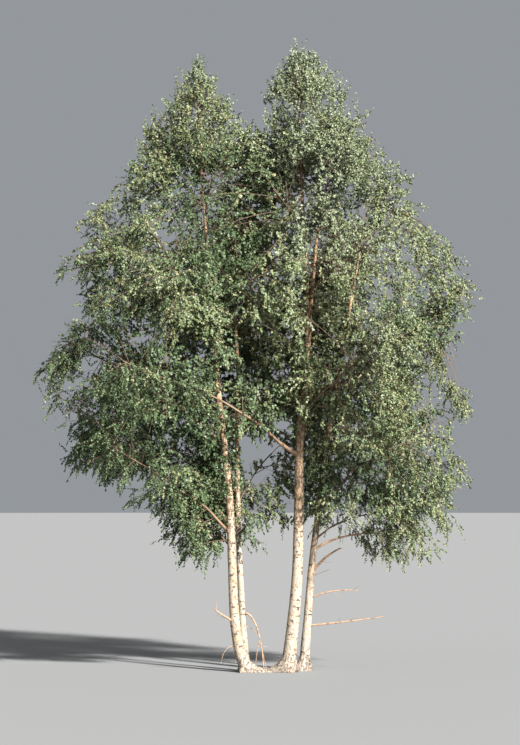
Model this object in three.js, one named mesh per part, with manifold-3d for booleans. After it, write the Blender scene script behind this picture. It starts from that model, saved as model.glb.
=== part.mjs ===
// A silver birch clump in full summer leaf: four pale stems from one root, a second leader high
// on the main stem, living boughs, dead lower limbs and masses of drooping foliage.
// Everything is at real size in millimetres. +Z is up, and the origin is the centre of the flat
// cut under the main stem. +X runs to the right and +Y away, seen from the side that shows the
// stems best.

import * as THREE from "three";
import { mergeVertices } from "three/addons/utils/BufferGeometryUtils.js";
import Module from "manifold-3d";

const wasm = await Module();
wasm.setup();

// Whole tree
const TREE_HEIGHT = 16000;
const CLEARANCE = 0.3; // between solids that meet
const FLATNESS = 0.01; // triangles that lie this flat together are joined
const SAME_POINT = 0.001; // corners nearer than this are one
const LIMB_MARGIN = 5; // between foliage and a limb that it only passes
const GOLDEN_ANGLE = THREE.MathUtils.degToRad(137.508);
const UP = new THREE.Vector3(0, 0, 1);

// Stems. A course holds [height, x, y] of the axis, and girth is the diameter without the
// swollen foot. Roots are [bearing in degrees, how far out] of the ridges at ground level: the
// longest two run together, because all four stems spring from one root.
const STEM_SIDES = 10;
const STEM_RINGS = 15;
const STEM_TIP_RADIUS = 14;
const STEM_TAPER = 0.9; // power of the taper: 1 is a straight cone
const RING_CROWDING = 1.6; // power that crowds the rings towards the foot
const FOOT_SWELL = 40; // added to the radius all round at the ground
const FOOT_SWELL_HEIGHT = 700;
const ROOT_RIDGE_HEIGHT = 200;
const ROOT_RIDGE_SHARPNESS = 5; // power of the cosine across a ridge
const FOOT_CUT_HEIGHT = 700; // feet that run into each other part along a plane up to here
const FOOT_CUT_SPAN = 4000; // wider than any foot
const STEMS = {
  main_stem: {
    girth: 320,
    top: 14500,
    roots: [[180, 460], [40, 220], [290, 230]],
    course: [
      [0, 0, 0],
      [970, 115, -10],
      [2400, 244, -30],
      [3850, 285, -50],
      [5700, 315, -50],
      [7600, 467, 0],
      [9200, 550, 50],
      [10600, 450, 60],
      [14500, 300, 60],
    ],
  },
  right_rear_stem: {
    girth: 215,
    top: 11700,
    roots: [[220, 220], [30, 200], [110, 200]],
    course: [
      [0, 420, 360],
      [1330, 520, 410],
      [2770, 640, 450],
      [3770, 764, 480],
      [5400, 960, 520],
      [7700, 1330, 560],
      [11700, 2050, 500],
    ],
  },
  left_front_stem: {
    girth: 255,
    top: 13900,
    roots: [[0, 460], [230, 210], [110, 240]],
    course: [
      [0, -970, -100],
      [450, -1190, -120],
      [1330, -1340, -150],
      [3100, -1420, -180],
      [4560, -1485, -200],
      [6300, -1670, -200],
      [7500, -1800, -150],
      [13900, -2290, 20],
    ],
  },
  left_rear_stem: {
    girth: 180,
    top: 12200,
    roots: [[285, 200], [60, 180], [150, 180]],
    course: [
      [0, -1060, 300],
      [1330, -1150, 320],
      [3600, -1250, 340],
      [6000, -1290, 360],
      [7500, -1260, 380],
      [12200, -1560, 420],
    ],
  },
};

// A second leader that springs from the main stem high in the crown.
const LEADER_SIDES = 5;
const LEADER_RINGS = 8;
const LEADERS = {
  right_leader: {
    from: "main_stem",
    course: [
      [8900, 549, 45],
      [9700, 640, -40],
      [10800, 735, -120],
      [11900, 880, -220],
      [12900, 1120, -340],
    ],
    baseRadius: 55,
    tipRadius: 18,
  },
};

// Dead lower limbs, each from a stem by a knee to its tip, as [x, y, height].
const DEAD_LIMB_SIDES = 6;
const DEAD_LIMBS = {
  long_low_limb: {
    from: "right_rear_stem",
    at: 3050,
    knee: [1180, 200, 3560],
    tip: [2830, 60, 3560],
    radii: [30, 11],
  },
  rising_low_limb: {
    from: "right_rear_stem",
    at: 2480,
    knee: [960, 300, 2960],
    tip: [1370, 200, 3140],
    radii: [34, 17],
  },
  thin_low_limb: {
    from: "right_rear_stem",
    at: 1830,
    knee: [1050, 230, 2110],
    tip: [1800, 150, 2060],
    radii: [20, 8],
  },
  lowest_limb: {
    from: "right_rear_stem",
    at: 1150,
    knee: [1400, 200, 1240],
    tip: [2500, 80, 1400],
    radii: [24, 9],
  },
  left_stub: {
    from: "left_front_stem",
    at: 1270,
    knee: [-1580, -300, 1400],
    tip: [-1850, -420, 1610],
    radii: [25, 15],
  },
  hanging_limb: {
    from: "left_rear_stem",
    at: 1480,
    knee: [-720, 60, 1560],
    tip: [-600, -150, 90],
    radii: [24, 9],
  },
};

// Crown. It has two spires that run together, each with its outline as [height, left edge,
// right edge], the y of its middle, and its depth as a share of its width. Each ring of masses
// has a height, a number, the bearings in degrees of the first and last, and how far out they
// stand as a share of the spire's radius there.
const SPIRES = {
  left: {
    apex: [-2300, 60, 15500],
    middle: 100,
    depth: 1.2,
    hosts: ["left_front_stem", "left_rear_stem"],
    outline: [
      [2350, -2150, -1500],
      [3000, -2750, -1150],
      [3650, -3450, -900],
      [4400, -4350, -600],
      [5000, -5000, -300],
      [5450, -5800, -150],
      [6200, -6150, 0],
      [7000, -6560, 100],
      [7750, -6600, 200],
      [8750, -6050, 200],
      [10050, -5850, 100],
      [11000, -5500, 0],
      [11800, -5250, -200],
      [12200, -4650, -300],
      [13400, -4050, -700],
      [14150, -3500, -1100],
      [14700, -3100, -1500],
      [15200, -2750, -1850],
      [15500, -2380, -2220],
    ],
    rings: [
      { height: 14300, count: 1, from: 0, to: 0, share: 0 },
      { height: 12600, count: 3, from: 60, to: 300, share: 0.5 },
      { height: 10400, count: 3, from: 85, to: 275, share: 0.56 },
      { height: 8000, count: 3, from: 100, to: 260, share: 0.6 },
      { height: 5900, count: 3, from: 80, to: 238, share: 0.6 },
      { height: 4100, count: 1, from: 180, to: 180, share: 0.05 },
    ],
  },
  right: {
    apex: [280, 60, TREE_HEIGHT],
    middle: 150,
    depth: 1.2,
    hosts: ["main_stem", "right_rear_stem", "right_leader"],
    outline: [
      [2900, 2300, 3500],
      [3400, 1300, 4200],
      [4400, 200, 4560],
      [5450, -500, 4590],
      [6200, -800, 4440],
      [7000, -900, 4640],
      [8300, -1000, 4720],
      [9050, -1000, 4850],
      [9800, -1000, 5000],
      [11100, -1000, 4350],
      [11850, -950, 3560],
      [12600, -850, 3150],
      [13400, -750, 2550],
      [13900, -700, 2260],
      [14700, -600, 2000],
      [15400, -430, 1230],
      [16000, 200, 360],
    ],
    rings: [
      { height: 14700, count: 1, from: 0, to: 0, share: 0 },
      { height: 13000, count: 3, from: -80, to: 160, share: 0.5 },
      { height: 10900, count: 3, from: -95, to: 95, share: 0.56 },
      { height: 8500, count: 3, from: -85, to: 90, share: 0.6 },
      { height: 6300, count: 2, from: -55, to: 60, share: 0.6 },
      { height: 4400, count: 1, from: 0, to: 0, share: 0.2 },
    ],
  },
  middle: {
    middle: 150,
    depth: 2,
    hosts: ["main_stem", "left_rear_stem", "left_front_stem"],
    outline: [
      [3600, -1500, 500],
      [4600, -1900, 1000],
      [8000, -2000, 1100],
      [12000, -1900, 900],
      [13400, -1300, 100],
    ],
    rings: [
      { height: 11900, count: 2, from: 100, to: 280, share: 0.5 },
      { height: 9700, count: 2, from: 75, to: 255, share: 0.5 },
      { height: 7600, count: 1, from: 90, to: 90, share: 0.5 },
      { height: 5500, count: 1, from: 90, to: 90, share: 0.6 },
    ],
  },
};
const STAGGER = 300; // every second mass of a ring stands this much higher, the others lower
const MASS_SPREAD = 1.4; // a mass's radius over half the way to its neighbours
const MASS_HEIGHT_SHARE = 0.9; // its half height over the way to the next ring
const SPACE_MARGIN = 3; // each mass stays this far inside its own space

// Boughs
const BOUGH_SIDES = 5;
const BOUGH_RINGS = 4;
const BOUGH_FROM_REACH = 1850; // a mass nearer its stem than this grows straight on it
const BOUGH_RISE = 0.72; // height gained for each millimetre outwards
const BOUGH_ARCH = 0.12; // how far its knee is lifted, as a share of its length
const BOUGH_KNEE_SHARE = 0.45;
const BOUGH_ENTRY = 0.55; // it ends at this share of the mass's radius from its middle
const BOUGH_BASE_RADIUS = 24;
const BOUGH_RADIUS_PER_REACH = 0.008;
const BOUGH_TIP_RADIUS = 21;
const BOUGH_BASE_LIMIT = 0.75; // no thicker than this share of its host's radius there
const BOUGH_TIP_LIMIT = 0.6;
const BOUGH_LOWEST_START = 2300;
const BOUGHS_ACROSS = { left_foliage_10: { from: "main_stem", at: 5450 } }; // in front of the others
const LIMB_SPACING = 45; // kept free between two limbs
const LIMB_STEP = 60; // how finely limbs are compared
const START_SHIFTS = [0, 260, -260, 520, -520, 780, -780];
const SIDE_SHIFTS = [0, 200, -200, 420, -420];

// Foliage. A blade stands for a whole hanging spray, so it is far larger than one leaf.
const MASS_STEM_SIDES = 4;
const MASS_STEM_RADII = [20, 17];
const MASS_STEM_RINGS = 2;
const MASS_STEM_REACH = 0.5; // share of the free way to the edge of the mass's space
const MASS_STEM_KNEE_SHARE = 0.4;
const APEX_STEM_SHARE = 0.5; // the stem of a top mass covers this share of the way to the apex
const MASS_STEM_TURNS = [0, 0.3, -0.3, 0.6, -0.6, 0.9, -0.9]; // tried in turn until it is clear
const TWIG_SIDES = 3;
const TWIGS_PER_MASS = 4;
const TWIG_TRIES = 14;
const TWIG_SHARES = [0.9, 0.25]; // they leave the mass's stem between these, from its end inwards
const TWIG_RADII = [9, 7];
const TWIG_SPREAD = THREE.MathUtils.degToRad(66);
const TWIG_REACH = 0.72;
const TWIG_LENGTHS = [300, 1700];
const TWIG_DROOP = 0.12;
const BLADES_ON_TWIG = [
  { share: 0.3, turns: [50, 75, 30], roll: 0.4 },
  { share: 0.55, turns: [-50, -75, -30], roll: -0.4 },
  { share: 0.8, turns: [40, 60, 80], roll: 0.5 },
  { share: 1, turns: [20, -20, 35], roll: 0.15 },
];
const BLADE_DROOPS = [0.3, 0.9, 1.8];
const BLADE_LENGTHS = [480, 1500];
const BLADE_STEP = 0.9; // each shorter blade that is tried, as a share of the last
const BLADE_WIDTH_SHARE = 0.7;
const BLADE_THICKNESS_SHARE = 0.018;
const BLADE_WIDEST = 0.42;
const BLADE_SINK = 2; // its root lies this far beyond the middle of the twig
const APEX_ROLL = Math.PI / 4;
const ROOM_STEP = 40; // how finely the way to the edge of a space is felt out
const ROOM_LIMIT = 4000;

const MATERIALS = {
  bark: new THREE.MeshStandardMaterial({ color: 0xe3d8c4, roughness: 0.75, metalness: 0 }),
  boughBark: new THREE.MeshStandardMaterial({ color: 0x8a6a50, roughness: 0.8, metalness: 0 }),
  deadWood: new THREE.MeshStandardMaterial({ color: 0xb89878, roughness: 0.85, metalness: 0 }),
  foliage: new THREE.MeshStandardMaterial({ color: 0x5d6f40, roughness: 0.55, metalness: 0 }),
};

// The values of rows [height, ...values] at one height, on a smooth curve through the rows.
function smoothRow(rows, height) {
  let i = 0;
  while (i < rows.length - 2 && height > rows[i + 1][0]) i += 1;
  const pick = (k) => rows[Math.min(Math.max(k, 0), rows.length - 1)];
  const [before, low, high, after] = [pick(i - 1), pick(i), pick(i + 1), pick(i + 2)];
  const span = high[0] - low[0];
  const t = THREE.MathUtils.clamp((height - low[0]) / span, 0, 1);
  return low.slice(1).map((value, k) => {
    const startSlope = (high[k + 1] - before[k + 1]) / (high[0] - before[0]);
    const endSlope = (after[k + 1] - low[k + 1]) / (after[0] - low[0]);
    const change = high[k + 1] - value;
    const bend = t * (1 - t) * ((1 - t) * (startSlope * span - change) - t * (endSlope * span - change));
    return value + change * t + bend;
  });
}

// The same on straight lines between the rows.
function straightRow(rows, height) {
  let i = 0;
  while (i < rows.length - 2 && height > rows[i + 1][0]) i += 1;
  const [low, high] = [rows[i], rows[i + 1]];
  const t = THREE.MathUtils.clamp((height - low[0]) / (high[0] - low[0]), 0, 1);
  return low.slice(1).map((value, k) => THREE.MathUtils.lerp(value, high[k + 1], t));
}

function axisPoint(course, height) {
  const [x, y] = smoothRow(course, height);
  return new THREE.Vector3(x, y, height);
}

function solidOf(geometry) {
  geometry.deleteAttribute("normal");
  geometry.deleteAttribute("uv");
  const merged = mergeVertices(geometry, SAME_POINT);
  return new wasm.Manifold(
    new wasm.Mesh({
      numProp: 3,
      vertProperties: merged.attributes.position.array,
      triVerts: new Uint32Array(merged.index.array),
    }),
  ).simplify(FLATNESS);
}

function meshOf(name, solid, material) {
  const made = solid.getMesh();
  const geometry = new THREE.BufferGeometry();
  geometry.setAttribute("position", new THREE.BufferAttribute(made.vertProperties, made.numProp));
  geometry.setIndex(new THREE.BufferAttribute(made.triVerts, 1));
  geometry.computeVertexNormals();
  const mesh = new THREE.Mesh(geometry, material);
  mesh.name = name;
  return mesh;
}

// Each vertex of a unit cylinder is moved to place(share along, x, y), where x and y are on the
// unit circle, or 0 at the middle of an end.
function bentCylinder(sides, rings, place) {
  const geometry = new THREE.CylinderGeometry(1, 1, 1, sides, rings);
  const position = geometry.attributes.position;
  for (let i = 0; i < position.count; i += 1) {
    const at = place(position.getY(i) + 0.5, position.getX(i), -position.getZ(i));
    position.setXYZ(i, at.x, at.y, at.z);
  }
  return solidOf(geometry);
}

function stemRadius(stem, height) {
  const left = Math.max(0, 1 - height / stem.top);
  const taper = (stem.girth / 2 - STEM_TIP_RADIUS) * left ** STEM_TAPER;
  return STEM_TIP_RADIUS + taper + FOOT_SWELL * Math.exp(-height / FOOT_SWELL_HEIGHT);
}

// How far the root ridges stand out at a bearing, near the ground.
function ridgeAt(stem, bearing, height) {
  const ridges = stem.roots.map(([degrees, reach]) => {
    const facing = Math.max(0, Math.cos(bearing - THREE.MathUtils.degToRad(degrees)));
    return reach * facing ** ROOT_RIDGE_SHARPNESS;
  });
  return Math.max(...ridges) * Math.exp(-height / ROOT_RIDGE_HEIGHT);
}

function stemSolid(stem, grow = 0) {
  return bentCylinder(STEM_SIDES, STEM_RINGS, (share, x, y) => {
    const height = stem.top * share ** RING_CROWDING;
    const radius = stemRadius(stem, height) + ridgeAt(stem, Math.atan2(y, x), height) + grow;
    return axisPoint(stem.course, height).add(new THREE.Vector3(x * radius, y * radius, 0));
  });
}

// A round limb along a curve, with its radius going evenly from the first value to the last.
function limbSolid(curve, [startRadius, endRadius], sides, rings, grow = 0) {
  const { normals, binormals } = curve.computeFrenetFrames(rings);
  return bentCylinder(sides, rings, (share, x, y) => {
    const ring = Math.round(share * rings);
    const radius = THREE.MathUtils.lerp(startRadius, endRadius, share) + grow;
    return curve
      .getPointAt(share)
      .addScaledVector(normals[ring], x * radius)
      .addScaledVector(binormals[ring], y * radius);
  });
}

// A straight twig with one edge down, so that blades leave through its faces.
function twigSolid(curve) {
  const heading = curve.getTangentAt(0);
  const side = UP.clone().cross(heading).normalize();
  const down = side.clone().cross(heading);
  const [startRadius, endRadius] = TWIG_RADII;
  return bentCylinder(TWIG_SIDES, 1, (share, x, y) => {
    const radius = THREE.MathUtils.lerp(startRadius, endRadius, share);
    return along(along(curve.getPointAt(share), down, x * radius), side, y * radius);
  });
}

// A limb as closely spaced balls, which is how limbs are kept clear of each other.
function traced(curve, [startRadius, endRadius]) {
  const steps = Math.max(2, Math.ceil(curve.getLength() / LIMB_STEP));
  return Array.from({ length: steps + 1 }, (_, i) => ({
    point: curve.getPointAt(i / steps),
    radius: THREE.MathUtils.lerp(startRadius, endRadius, i / steps),
  }));
}

function tooClose(trace, other, spacing) {
  return trace.some((a) =>
    other.some((b) => a.point.distanceTo(b.point) < a.radius + b.radius + spacing),
  );
}

// Every limb so far: its solid, a slightly swollen copy to test foliage against, its trace, and
// the curve and seat of a bough.
const limbs = new Map();

function addLimb(name, solid, swollen, trace) {
  limbs.set(name, { solid, swollen, trace });
}

function clearOfLimbs(trace, allowed) {
  return [...limbs]
    .filter(([name]) => !allowed.includes(name))
    .every(([, limb]) => !tooClose(trace, limb.trace, LIMB_SPACING));
}

function addStems() {
  for (const [name, stem] of Object.entries(STEMS)) {
    const steps = Math.ceil(stem.top / LIMB_STEP);
    const trace = Array.from({ length: steps + 1 }, (_, i) => {
      const height = (stem.top * i) / steps;
      return { point: axisPoint(stem.course, height), radius: stemRadius(stem, height) };
    });
    addLimb(name, stemSolid(stem), stemSolid(stem, LIMB_MARGIN), trace);
  }
  partFeet();
}

// Feet that run into each other are cut apart by an upright plane between them.
function partFeet() {
  const names = Object.keys(STEMS);
  for (const name of names) {
    const foot = axisPoint(STEMS[name].course, 0);
    const radius = stemRadius(STEMS[name], 0);
    for (const other of names.filter((n) => n !== name)) {
      const otherFoot = axisPoint(STEMS[other].course, 0);
      const across = otherFoot.clone().sub(foot);
      const share = radius / (radius + stemRadius(STEMS[other], 0));
      const edge = across.length() * share - CLEARANCE / 2;
      const cutter = new THREE.BoxGeometry(FOOT_CUT_SPAN, FOOT_CUT_SPAN, 2 * FOOT_CUT_HEIGHT);
      cutter.translate(edge + FOOT_CUT_SPAN / 2, 0, 0);
      cutter.rotateZ(Math.atan2(across.y, across.x));
      cutter.translate(foot.x, foot.y, 0);
      const limb = limbs.get(name);
      limb.solid = limb.solid.subtract(solidOf(cutter));
    }
  }
}

function addLeaders() {
  for (const [name, leader] of Object.entries(LEADERS)) {
    const points = leader.course.map(([height, x, y]) => new THREE.Vector3(x, y, height));
    const curve = new THREE.CatmullRomCurve3(points);
    const radii = [leader.baseRadius, leader.tipRadius];
    addBough(name, curve, radii, leader.from, LEADER_SIDES, LEADER_RINGS);
  }
}

// A bough's root is cut to the stem it grows from, so that it sits on the bark.
function addBough(name, curve, radii, host, sides = BOUGH_SIDES, rings = BOUGH_RINGS) {
  const shape = [curve, radii, sides, rings];
  const solid = largest(limbSolid(...shape).subtract(seatOn(host)));
  addLimb(name, solid, limbSolid(...shape, LIMB_MARGIN), traced(curve, radii));
  limbs.get(name).curve = curve;
  limbs.get(name).seat = limbSolid(...shape, CLEARANCE);
}

// A limb grown by the clearance, which is cut from what sits on it.
function seatOn(host) {
  return STEMS[host] ? stemSolid(STEMS[host], CLEARANCE) : limbs.get(host).seat;
}

function largest(solid) {
  return solid.decompose().reduce((a, b) => (b.volume() > a.volume() ? b : a));
}

function addDeadLimbs() {
  for (const [name, limb] of Object.entries(DEAD_LIMBS)) {
    const start = axisPoint(STEMS[limb.from].course, limb.at);
    const curve = new THREE.QuadraticBezierCurve3(
      start,
      new THREE.Vector3(...limb.knee),
      new THREE.Vector3(...limb.tip),
    );
    addBough(name, curve, limb.radii, limb.from, DEAD_LIMB_SIDES);
  }
}

// A spire's cross-section at one height is an ellipse.
function sectionAt(spire, height) {
  const [left, right] = straightRow(spire.outline, height);
  const halfWidth = (right - left) / 2;
  return { x: (left + right) / 2, y: spire.middle, halfWidth, halfDepth: halfWidth * spire.depth };
}

function inSpire(spire, point) {
  const bottom = spire.outline[0][0];
  const top = spire.outline[spire.outline.length - 1][0];
  if (point.z < bottom || point.z > top) return false;
  const section = sectionAt(spire, point.z);
  const x = (point.x - section.x) / section.halfWidth;
  const y = (point.y - section.y) / section.halfDepth;
  return x * x + y * y <= 1;
}

function planMasses() {
  const planned = [];
  for (const [side, spire] of Object.entries(SPIRES)) {
    let number = 0;
    spire.rings.forEach((ring, r) => {
      const next = spire.rings[r + 1] ?? spire.rings[r - 1];
      const section = sectionAt(spire, ring.height);
      const gap = ring.count > 1 ? THREE.MathUtils.degToRad((ring.to - ring.from) / (ring.count - 1)) : 0;
      for (let i = 0; i < ring.count; i += 1) {
        number += 1;
        const bearing = THREE.MathUtils.degToRad(ring.from) + gap * i;
        const out = new THREE.Vector2(
          section.halfWidth * Math.cos(bearing),
          section.halfDepth * Math.sin(bearing),
        );
        const between = Math.min((ring.share * out.length() * gap) / 2, section.halfWidth);
        const half = Math.max((1 - ring.share) * out.length(), between);
        const stagger = ring.count > 1 ? STAGGER * (i % 2 ? 1 : -1) : 0;
        planned.push({
          apex: r === 0 && spire.apex ? new THREE.Vector3(...spire.apex) : null,
          name: `${side}_foliage_${number}`,
          boughName: `${side}_bough_${number}`,
          spire,
          number,
          centre: new THREE.Vector3(
            section.x + ring.share * out.x,
            section.y + ring.share * out.y,
            ring.height + stagger,
          ),
          weight: half ** 2,
          radius: half * MASS_SPREAD,
          halfHeight: Math.abs(ring.height - next.height) * MASS_HEIGHT_SHARE,
        });
      }
    });
  }
  return planned;
}

// How far a point lies on one mass's side of the plane between it and another. The planes part
// the crown by distance squared less weight, so heavier masses get more room.
function planeGap(mass, other, point) {
  const across = other.centre.clone().sub(mass.centre);
  const span = across.length();
  const plane = (span * span + mass.weight - other.weight) / (2 * span);
  return plane - point.clone().sub(mass.centre).dot(across) / span;
}

// A mass keeps to an ellipsoid inside the crown, on its own side of all those planes.
function inSpace(mass, point) {
  const away = point.clone().sub(mass.centre);
  const flat = Math.hypot(away.x, away.y) / mass.radius;
  const tall = away.z / mass.halfHeight;
  if (flat * flat + tall * tall > 1) return false;
  if (!Object.values(SPIRES).some((spire) => inSpire(spire, point))) return false;
  return masses.every((other) => other === mass || planeGap(mass, other, point) > SPACE_MARGIN);
}

// The free way from a point along a direction to the edge of the mass's space, up to a limit.
function roomAlong(mass, point, direction, limit) {
  let room = 0;
  while (room < limit && inSpace(mass, along(point, direction, room + ROOM_STEP))) {
    room += ROOM_STEP;
  }
  return room;
}

function along(point, direction, distance) {
  return point.clone().addScaledVector(direction, distance);
}

// The limb that a mass grows from, and where: a bough should rise to it at the usual slope.
function hostOf(mass) {
  const across = BOUGHS_ACROSS[mass.name];
  if (across) {
    const { trace } = limbs.get(across.from);
    return { name: across.from, flat: Infinity, start: across.at, trace };
  }
  const best = { distance: Infinity };
  for (const name of mass.spire.hosts) {
    for (const { point } of limbs.get(name).trace) {
      const flat = Math.hypot(mass.centre.x - point.x, mass.centre.y - point.y);
      const distance = flat + Math.abs(point.z - mass.centre.z + BOUGH_RISE * flat);
      const start = mass.centre.z - BOUGH_RISE * flat;
      if (distance < best.distance) Object.assign(best, { distance, name, flat, start });
    }
  }
  return { ...best, trace: limbs.get(best.name).trace };
}

// The point on a traced limb nearest to a height.
function pointAtHeight(trace, height) {
  return trace.reduce((a, b) => (Math.abs(b.point.z - height) < Math.abs(a.point.z - height) ? b : a));
}

function archedCurve(start, end, sideways) {
  const way = end.clone().sub(start);
  const aside = new THREE.Vector3(-way.y, way.x, 0).normalize();
  const knee = along(start.clone().lerp(end, BOUGH_KNEE_SHARE), UP, way.length() * BOUGH_ARCH);
  return new THREE.QuadraticBezierCurve3(start, along(knee, aside, sideways), end);
}

// The first curve from the host to the end point that stays clear of all other limbs.
function clearCurve(host, mass, endOf, radiiOf) {
  for (const side of SIDE_SHIFTS) {
    for (const shift of START_SHIFTS) {
      const start = pointAtHeight(host.trace, Math.max(BOUGH_LOWEST_START, host.start + shift));
      const curve = archedCurve(start.point, endOf(start.point), side);
      const radii = radiiOf(curve, start.radius);
      if (clearOfLimbs(traced(curve, radii), [host.name])) return { curve, radii };
    }
  }
  throw new Error(`no clear way to ${mass.name}`);
}

// The mass nearest to the tip of each stem and leader grows on from that tip.
function seatOnTips() {
  for (const name of [...Object.keys(STEMS), ...Object.keys(LEADERS)]) {
    const tip = limbs.get(name).trace.at(-1).point;
    const free = masses.filter((mass) => !mass.tipOf && mass.spire.hosts.includes(name));
    const nearest = free.reduce((a, b) => (b.centre.distanceTo(tip) < a.centre.distanceTo(tip) ? b : a));
    nearest.tipOf = name;
  }
}

function addBoughTo(mass) {
  const host = hostOf(mass);
  if (mass.tipOf || host.flat < BOUGH_FROM_REACH) return;
  const endOf = (start) => {
    const heading = mass.centre.clone().sub(start).normalize();
    return along(mass.centre, heading, -BOUGH_ENTRY * Math.sqrt(mass.weight));
  };
  const radiiOf = (curve, hostRadius) => {
    const wanted = BOUGH_BASE_RADIUS + BOUGH_RADIUS_PER_REACH * curve.getLength();
    return [
      Math.min(wanted, BOUGH_BASE_LIMIT * hostRadius),
      Math.min(BOUGH_TIP_RADIUS, BOUGH_TIP_LIMIT * hostRadius),
    ];
  };
  const { curve, radii } = clearCurve(host, mass, endOf, radiiOf);
  addBough(mass.boughName, curve, radii, host.name);
  mass.bough = curve;
}

// The stem of a mass goes on from its bough's end or its trunk's tip, or leaves the trunk's side.
function addMassStem(mass) {
  if (mass.bough) {
    const start = mass.bough.getPointAt(1);
    growOn(mass, start, mass.bough.getTangentAt(1), mass.boughName);
  } else if (mass.tipOf) {
    const { trace, curve } = limbs.get(mass.tipOf);
    growOn(mass, trace.at(-1).point, curve ? curve.getTangentAt(1) : UP, mass.tipOf);
  } else {
    const host = hostOf(mass);
    const endOf = (start) => farEnd(mass, start, mass.centre.clone().sub(start).normalize());
    const { curve } = clearCurve(host, mass, endOf, () => MASS_STEM_RADII);
    mass.seat = host.name;
    keepMassStem(mass, curve, [host.name]);
  }
}

// A stem starts square to the end of the limb that it goes on from.
function growOn(mass, tip, heading, limbName) {
  const start = along(tip, heading, CLEARANCE);
  for (const turn of MASS_STEM_TURNS) {
    const end = farEnd(mass, start, heading.clone().applyAxisAngle(UP, turn));
    const knee = along(start, heading, start.distanceTo(end) * MASS_STEM_KNEE_SHARE);
    const curve = new THREE.QuadraticBezierCurve3(start, knee, end);
    if (keepMassStem(mass, curve, [limbName])) return;
  }
  throw new Error(`no clear stem for ${mass.name}`);
}

// The stem of a spire's top mass heads for the apex, which the last blade then reaches. Others
// end part of the way from inside the mass to its edge.
function farEnd(mass, start, heading) {
  if (mass.apex) return start.clone().lerp(mass.apex, APEX_STEM_SHARE);
  const inside = start.clone().lerp(mass.centre, 0.5);
  return along(inside, heading, roomAlong(mass, inside, heading, ROOM_LIMIT) * MASS_STEM_REACH);
}

function keepMassStem(mass, curve, allowed) {
  const trace = traced(curve, MASS_STEM_RADII);
  if (!clearOfLimbs(trace, allowed)) return false;
  const shape = [curve, MASS_STEM_RADII, MASS_STEM_SIDES, MASS_STEM_RINGS];
  addLimb(mass.name, limbSolid(...shape), limbSolid(...shape, LIMB_MARGIN), trace);
  mass.stem = curve;
  return true;
}

function touches(solid, other) {
  const [a, b] = [solid.boundingBox(), other.boundingBox()];
  const apart = [0, 1, 2].some((k) => a.min[k] > b.max[k] || a.max[k] < b.min[k]);
  return !apart && solid.intersect(other).volume() > 0;
}

// Whether a piece of foliage is clear of its neighbours and of every limb but its mass's stem.
function isClear(mass, solid, neighbours) {
  const others = [...limbs].filter(([name]) => name !== mass.name).map(([, limb]) => limb.swollen);
  return ![...others, ...neighbours].some((other) => touches(solid, other));
}

// A blade has its root, two sides and tip in outline, a flat back and a ridged face.
function bladeFrame(root, direction, roll, length) {
  const side = direction.clone().cross(UP).normalize().cross(direction).applyAxisAngle(direction, roll);
  return {
    side,
    normal: direction.clone().cross(side),
    widest: along(root, direction, length * BLADE_WIDEST),
    tip: along(root, direction, length),
  };
}

function bladeSolid(root, direction, roll, length) {
  const { side, normal } = bladeFrame(root, direction, roll, length);
  const geometry = new THREE.ConeGeometry(1, 1, 4, 1);
  const position = geometry.attributes.position;
  for (let i = 0; i < position.count; i += 1) {
    const [x, y, z] = [position.getX(i), position.getY(i) + 0.5, position.getZ(i)];
    const share = z > 0.5 ? 1 : z < -0.5 ? 0 : BLADE_WIDEST;
    const at = along(root, direction, length * share)
      .addScaledVector(side, (x * length * BLADE_WIDTH_SHARE) / 2)
      .addScaledVector(normal, y * length * BLADE_THICKNESS_SHARE);
    position.setXYZ(i, at.x, at.y, at.z);
  }
  return solidOf(geometry);
}

// The longest blade from a root along a direction that keeps to the mass's space.
function fittingLength(mass, root, direction, roll) {
  const [shortest, longest] = BLADE_LENGTHS;
  const room = Math.min(longest, roomAlong(mass, root, direction, longest));
  for (let length = room; length >= shortest; length *= BLADE_STEP) {
    const { side, widest, tip } = bladeFrame(root, direction, roll, length);
    const half = (length * BLADE_WIDTH_SHARE) / 2;
    if ([tip, along(widest, side, half), along(widest, side, -half)].every((p) => inSpace(mass, p))) {
      return length;
    }
  }
  return 0;
}

// Of the directions that a place on a twig allows, the one with most room for a clear blade.
function bestBlade(mass, point, heading, place, neighbours) {
  const tries = place.turns.flatMap((turn) =>
    BLADE_DROOPS.map((droop) => {
      const turned = heading.clone().applyAxisAngle(UP, THREE.MathUtils.degToRad(turn));
      const direction = along(turned, UP, -droop).normalize();
      const root = along(point, direction, -BLADE_SINK);
      return { direction, root, length: fittingLength(mass, root, direction, place.roll) };
    }),
  );
  for (const { direction, root, length } of tries.sort((a, b) => b.length - a.length)) {
    if (length === 0) return null;
    const blade = bladeSolid(root, direction, place.roll, length);
    if (isClear(mass, blade, neighbours)) return blade;
  }
  return null;
}

// Twigs leave the mass's stem at even steps, each turned by the golden angle from the last.
function twigCurve(mass, i) {
  const [first, last] = TWIG_SHARES;
  const share = THREE.MathUtils.lerp(first, last, (i / TWIGS_PER_MASS) % 1);
  const root = mass.stem.getPointAt(share);
  const stemHeading = mass.stem.getTangentAt(share);
  const across = new THREE.Vector3(1, 0, 0).cross(stemHeading).normalize();
  const heading = stemHeading
    .clone()
    .applyAxisAngle(across, TWIG_SPREAD)
    .applyAxisAngle(stemHeading, (i + mass.number) * GOLDEN_ANGLE);
  const length = Math.min(roomAlong(mass, root, heading, ROOM_LIMIT) * TWIG_REACH, TWIG_LENGTHS[1]);
  const tip = along(along(root, heading, length), UP, -TWIG_DROOP * length);
  return length < TWIG_LENGTHS[0] ? null : new THREE.LineCurve3(root, tip);
}

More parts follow.
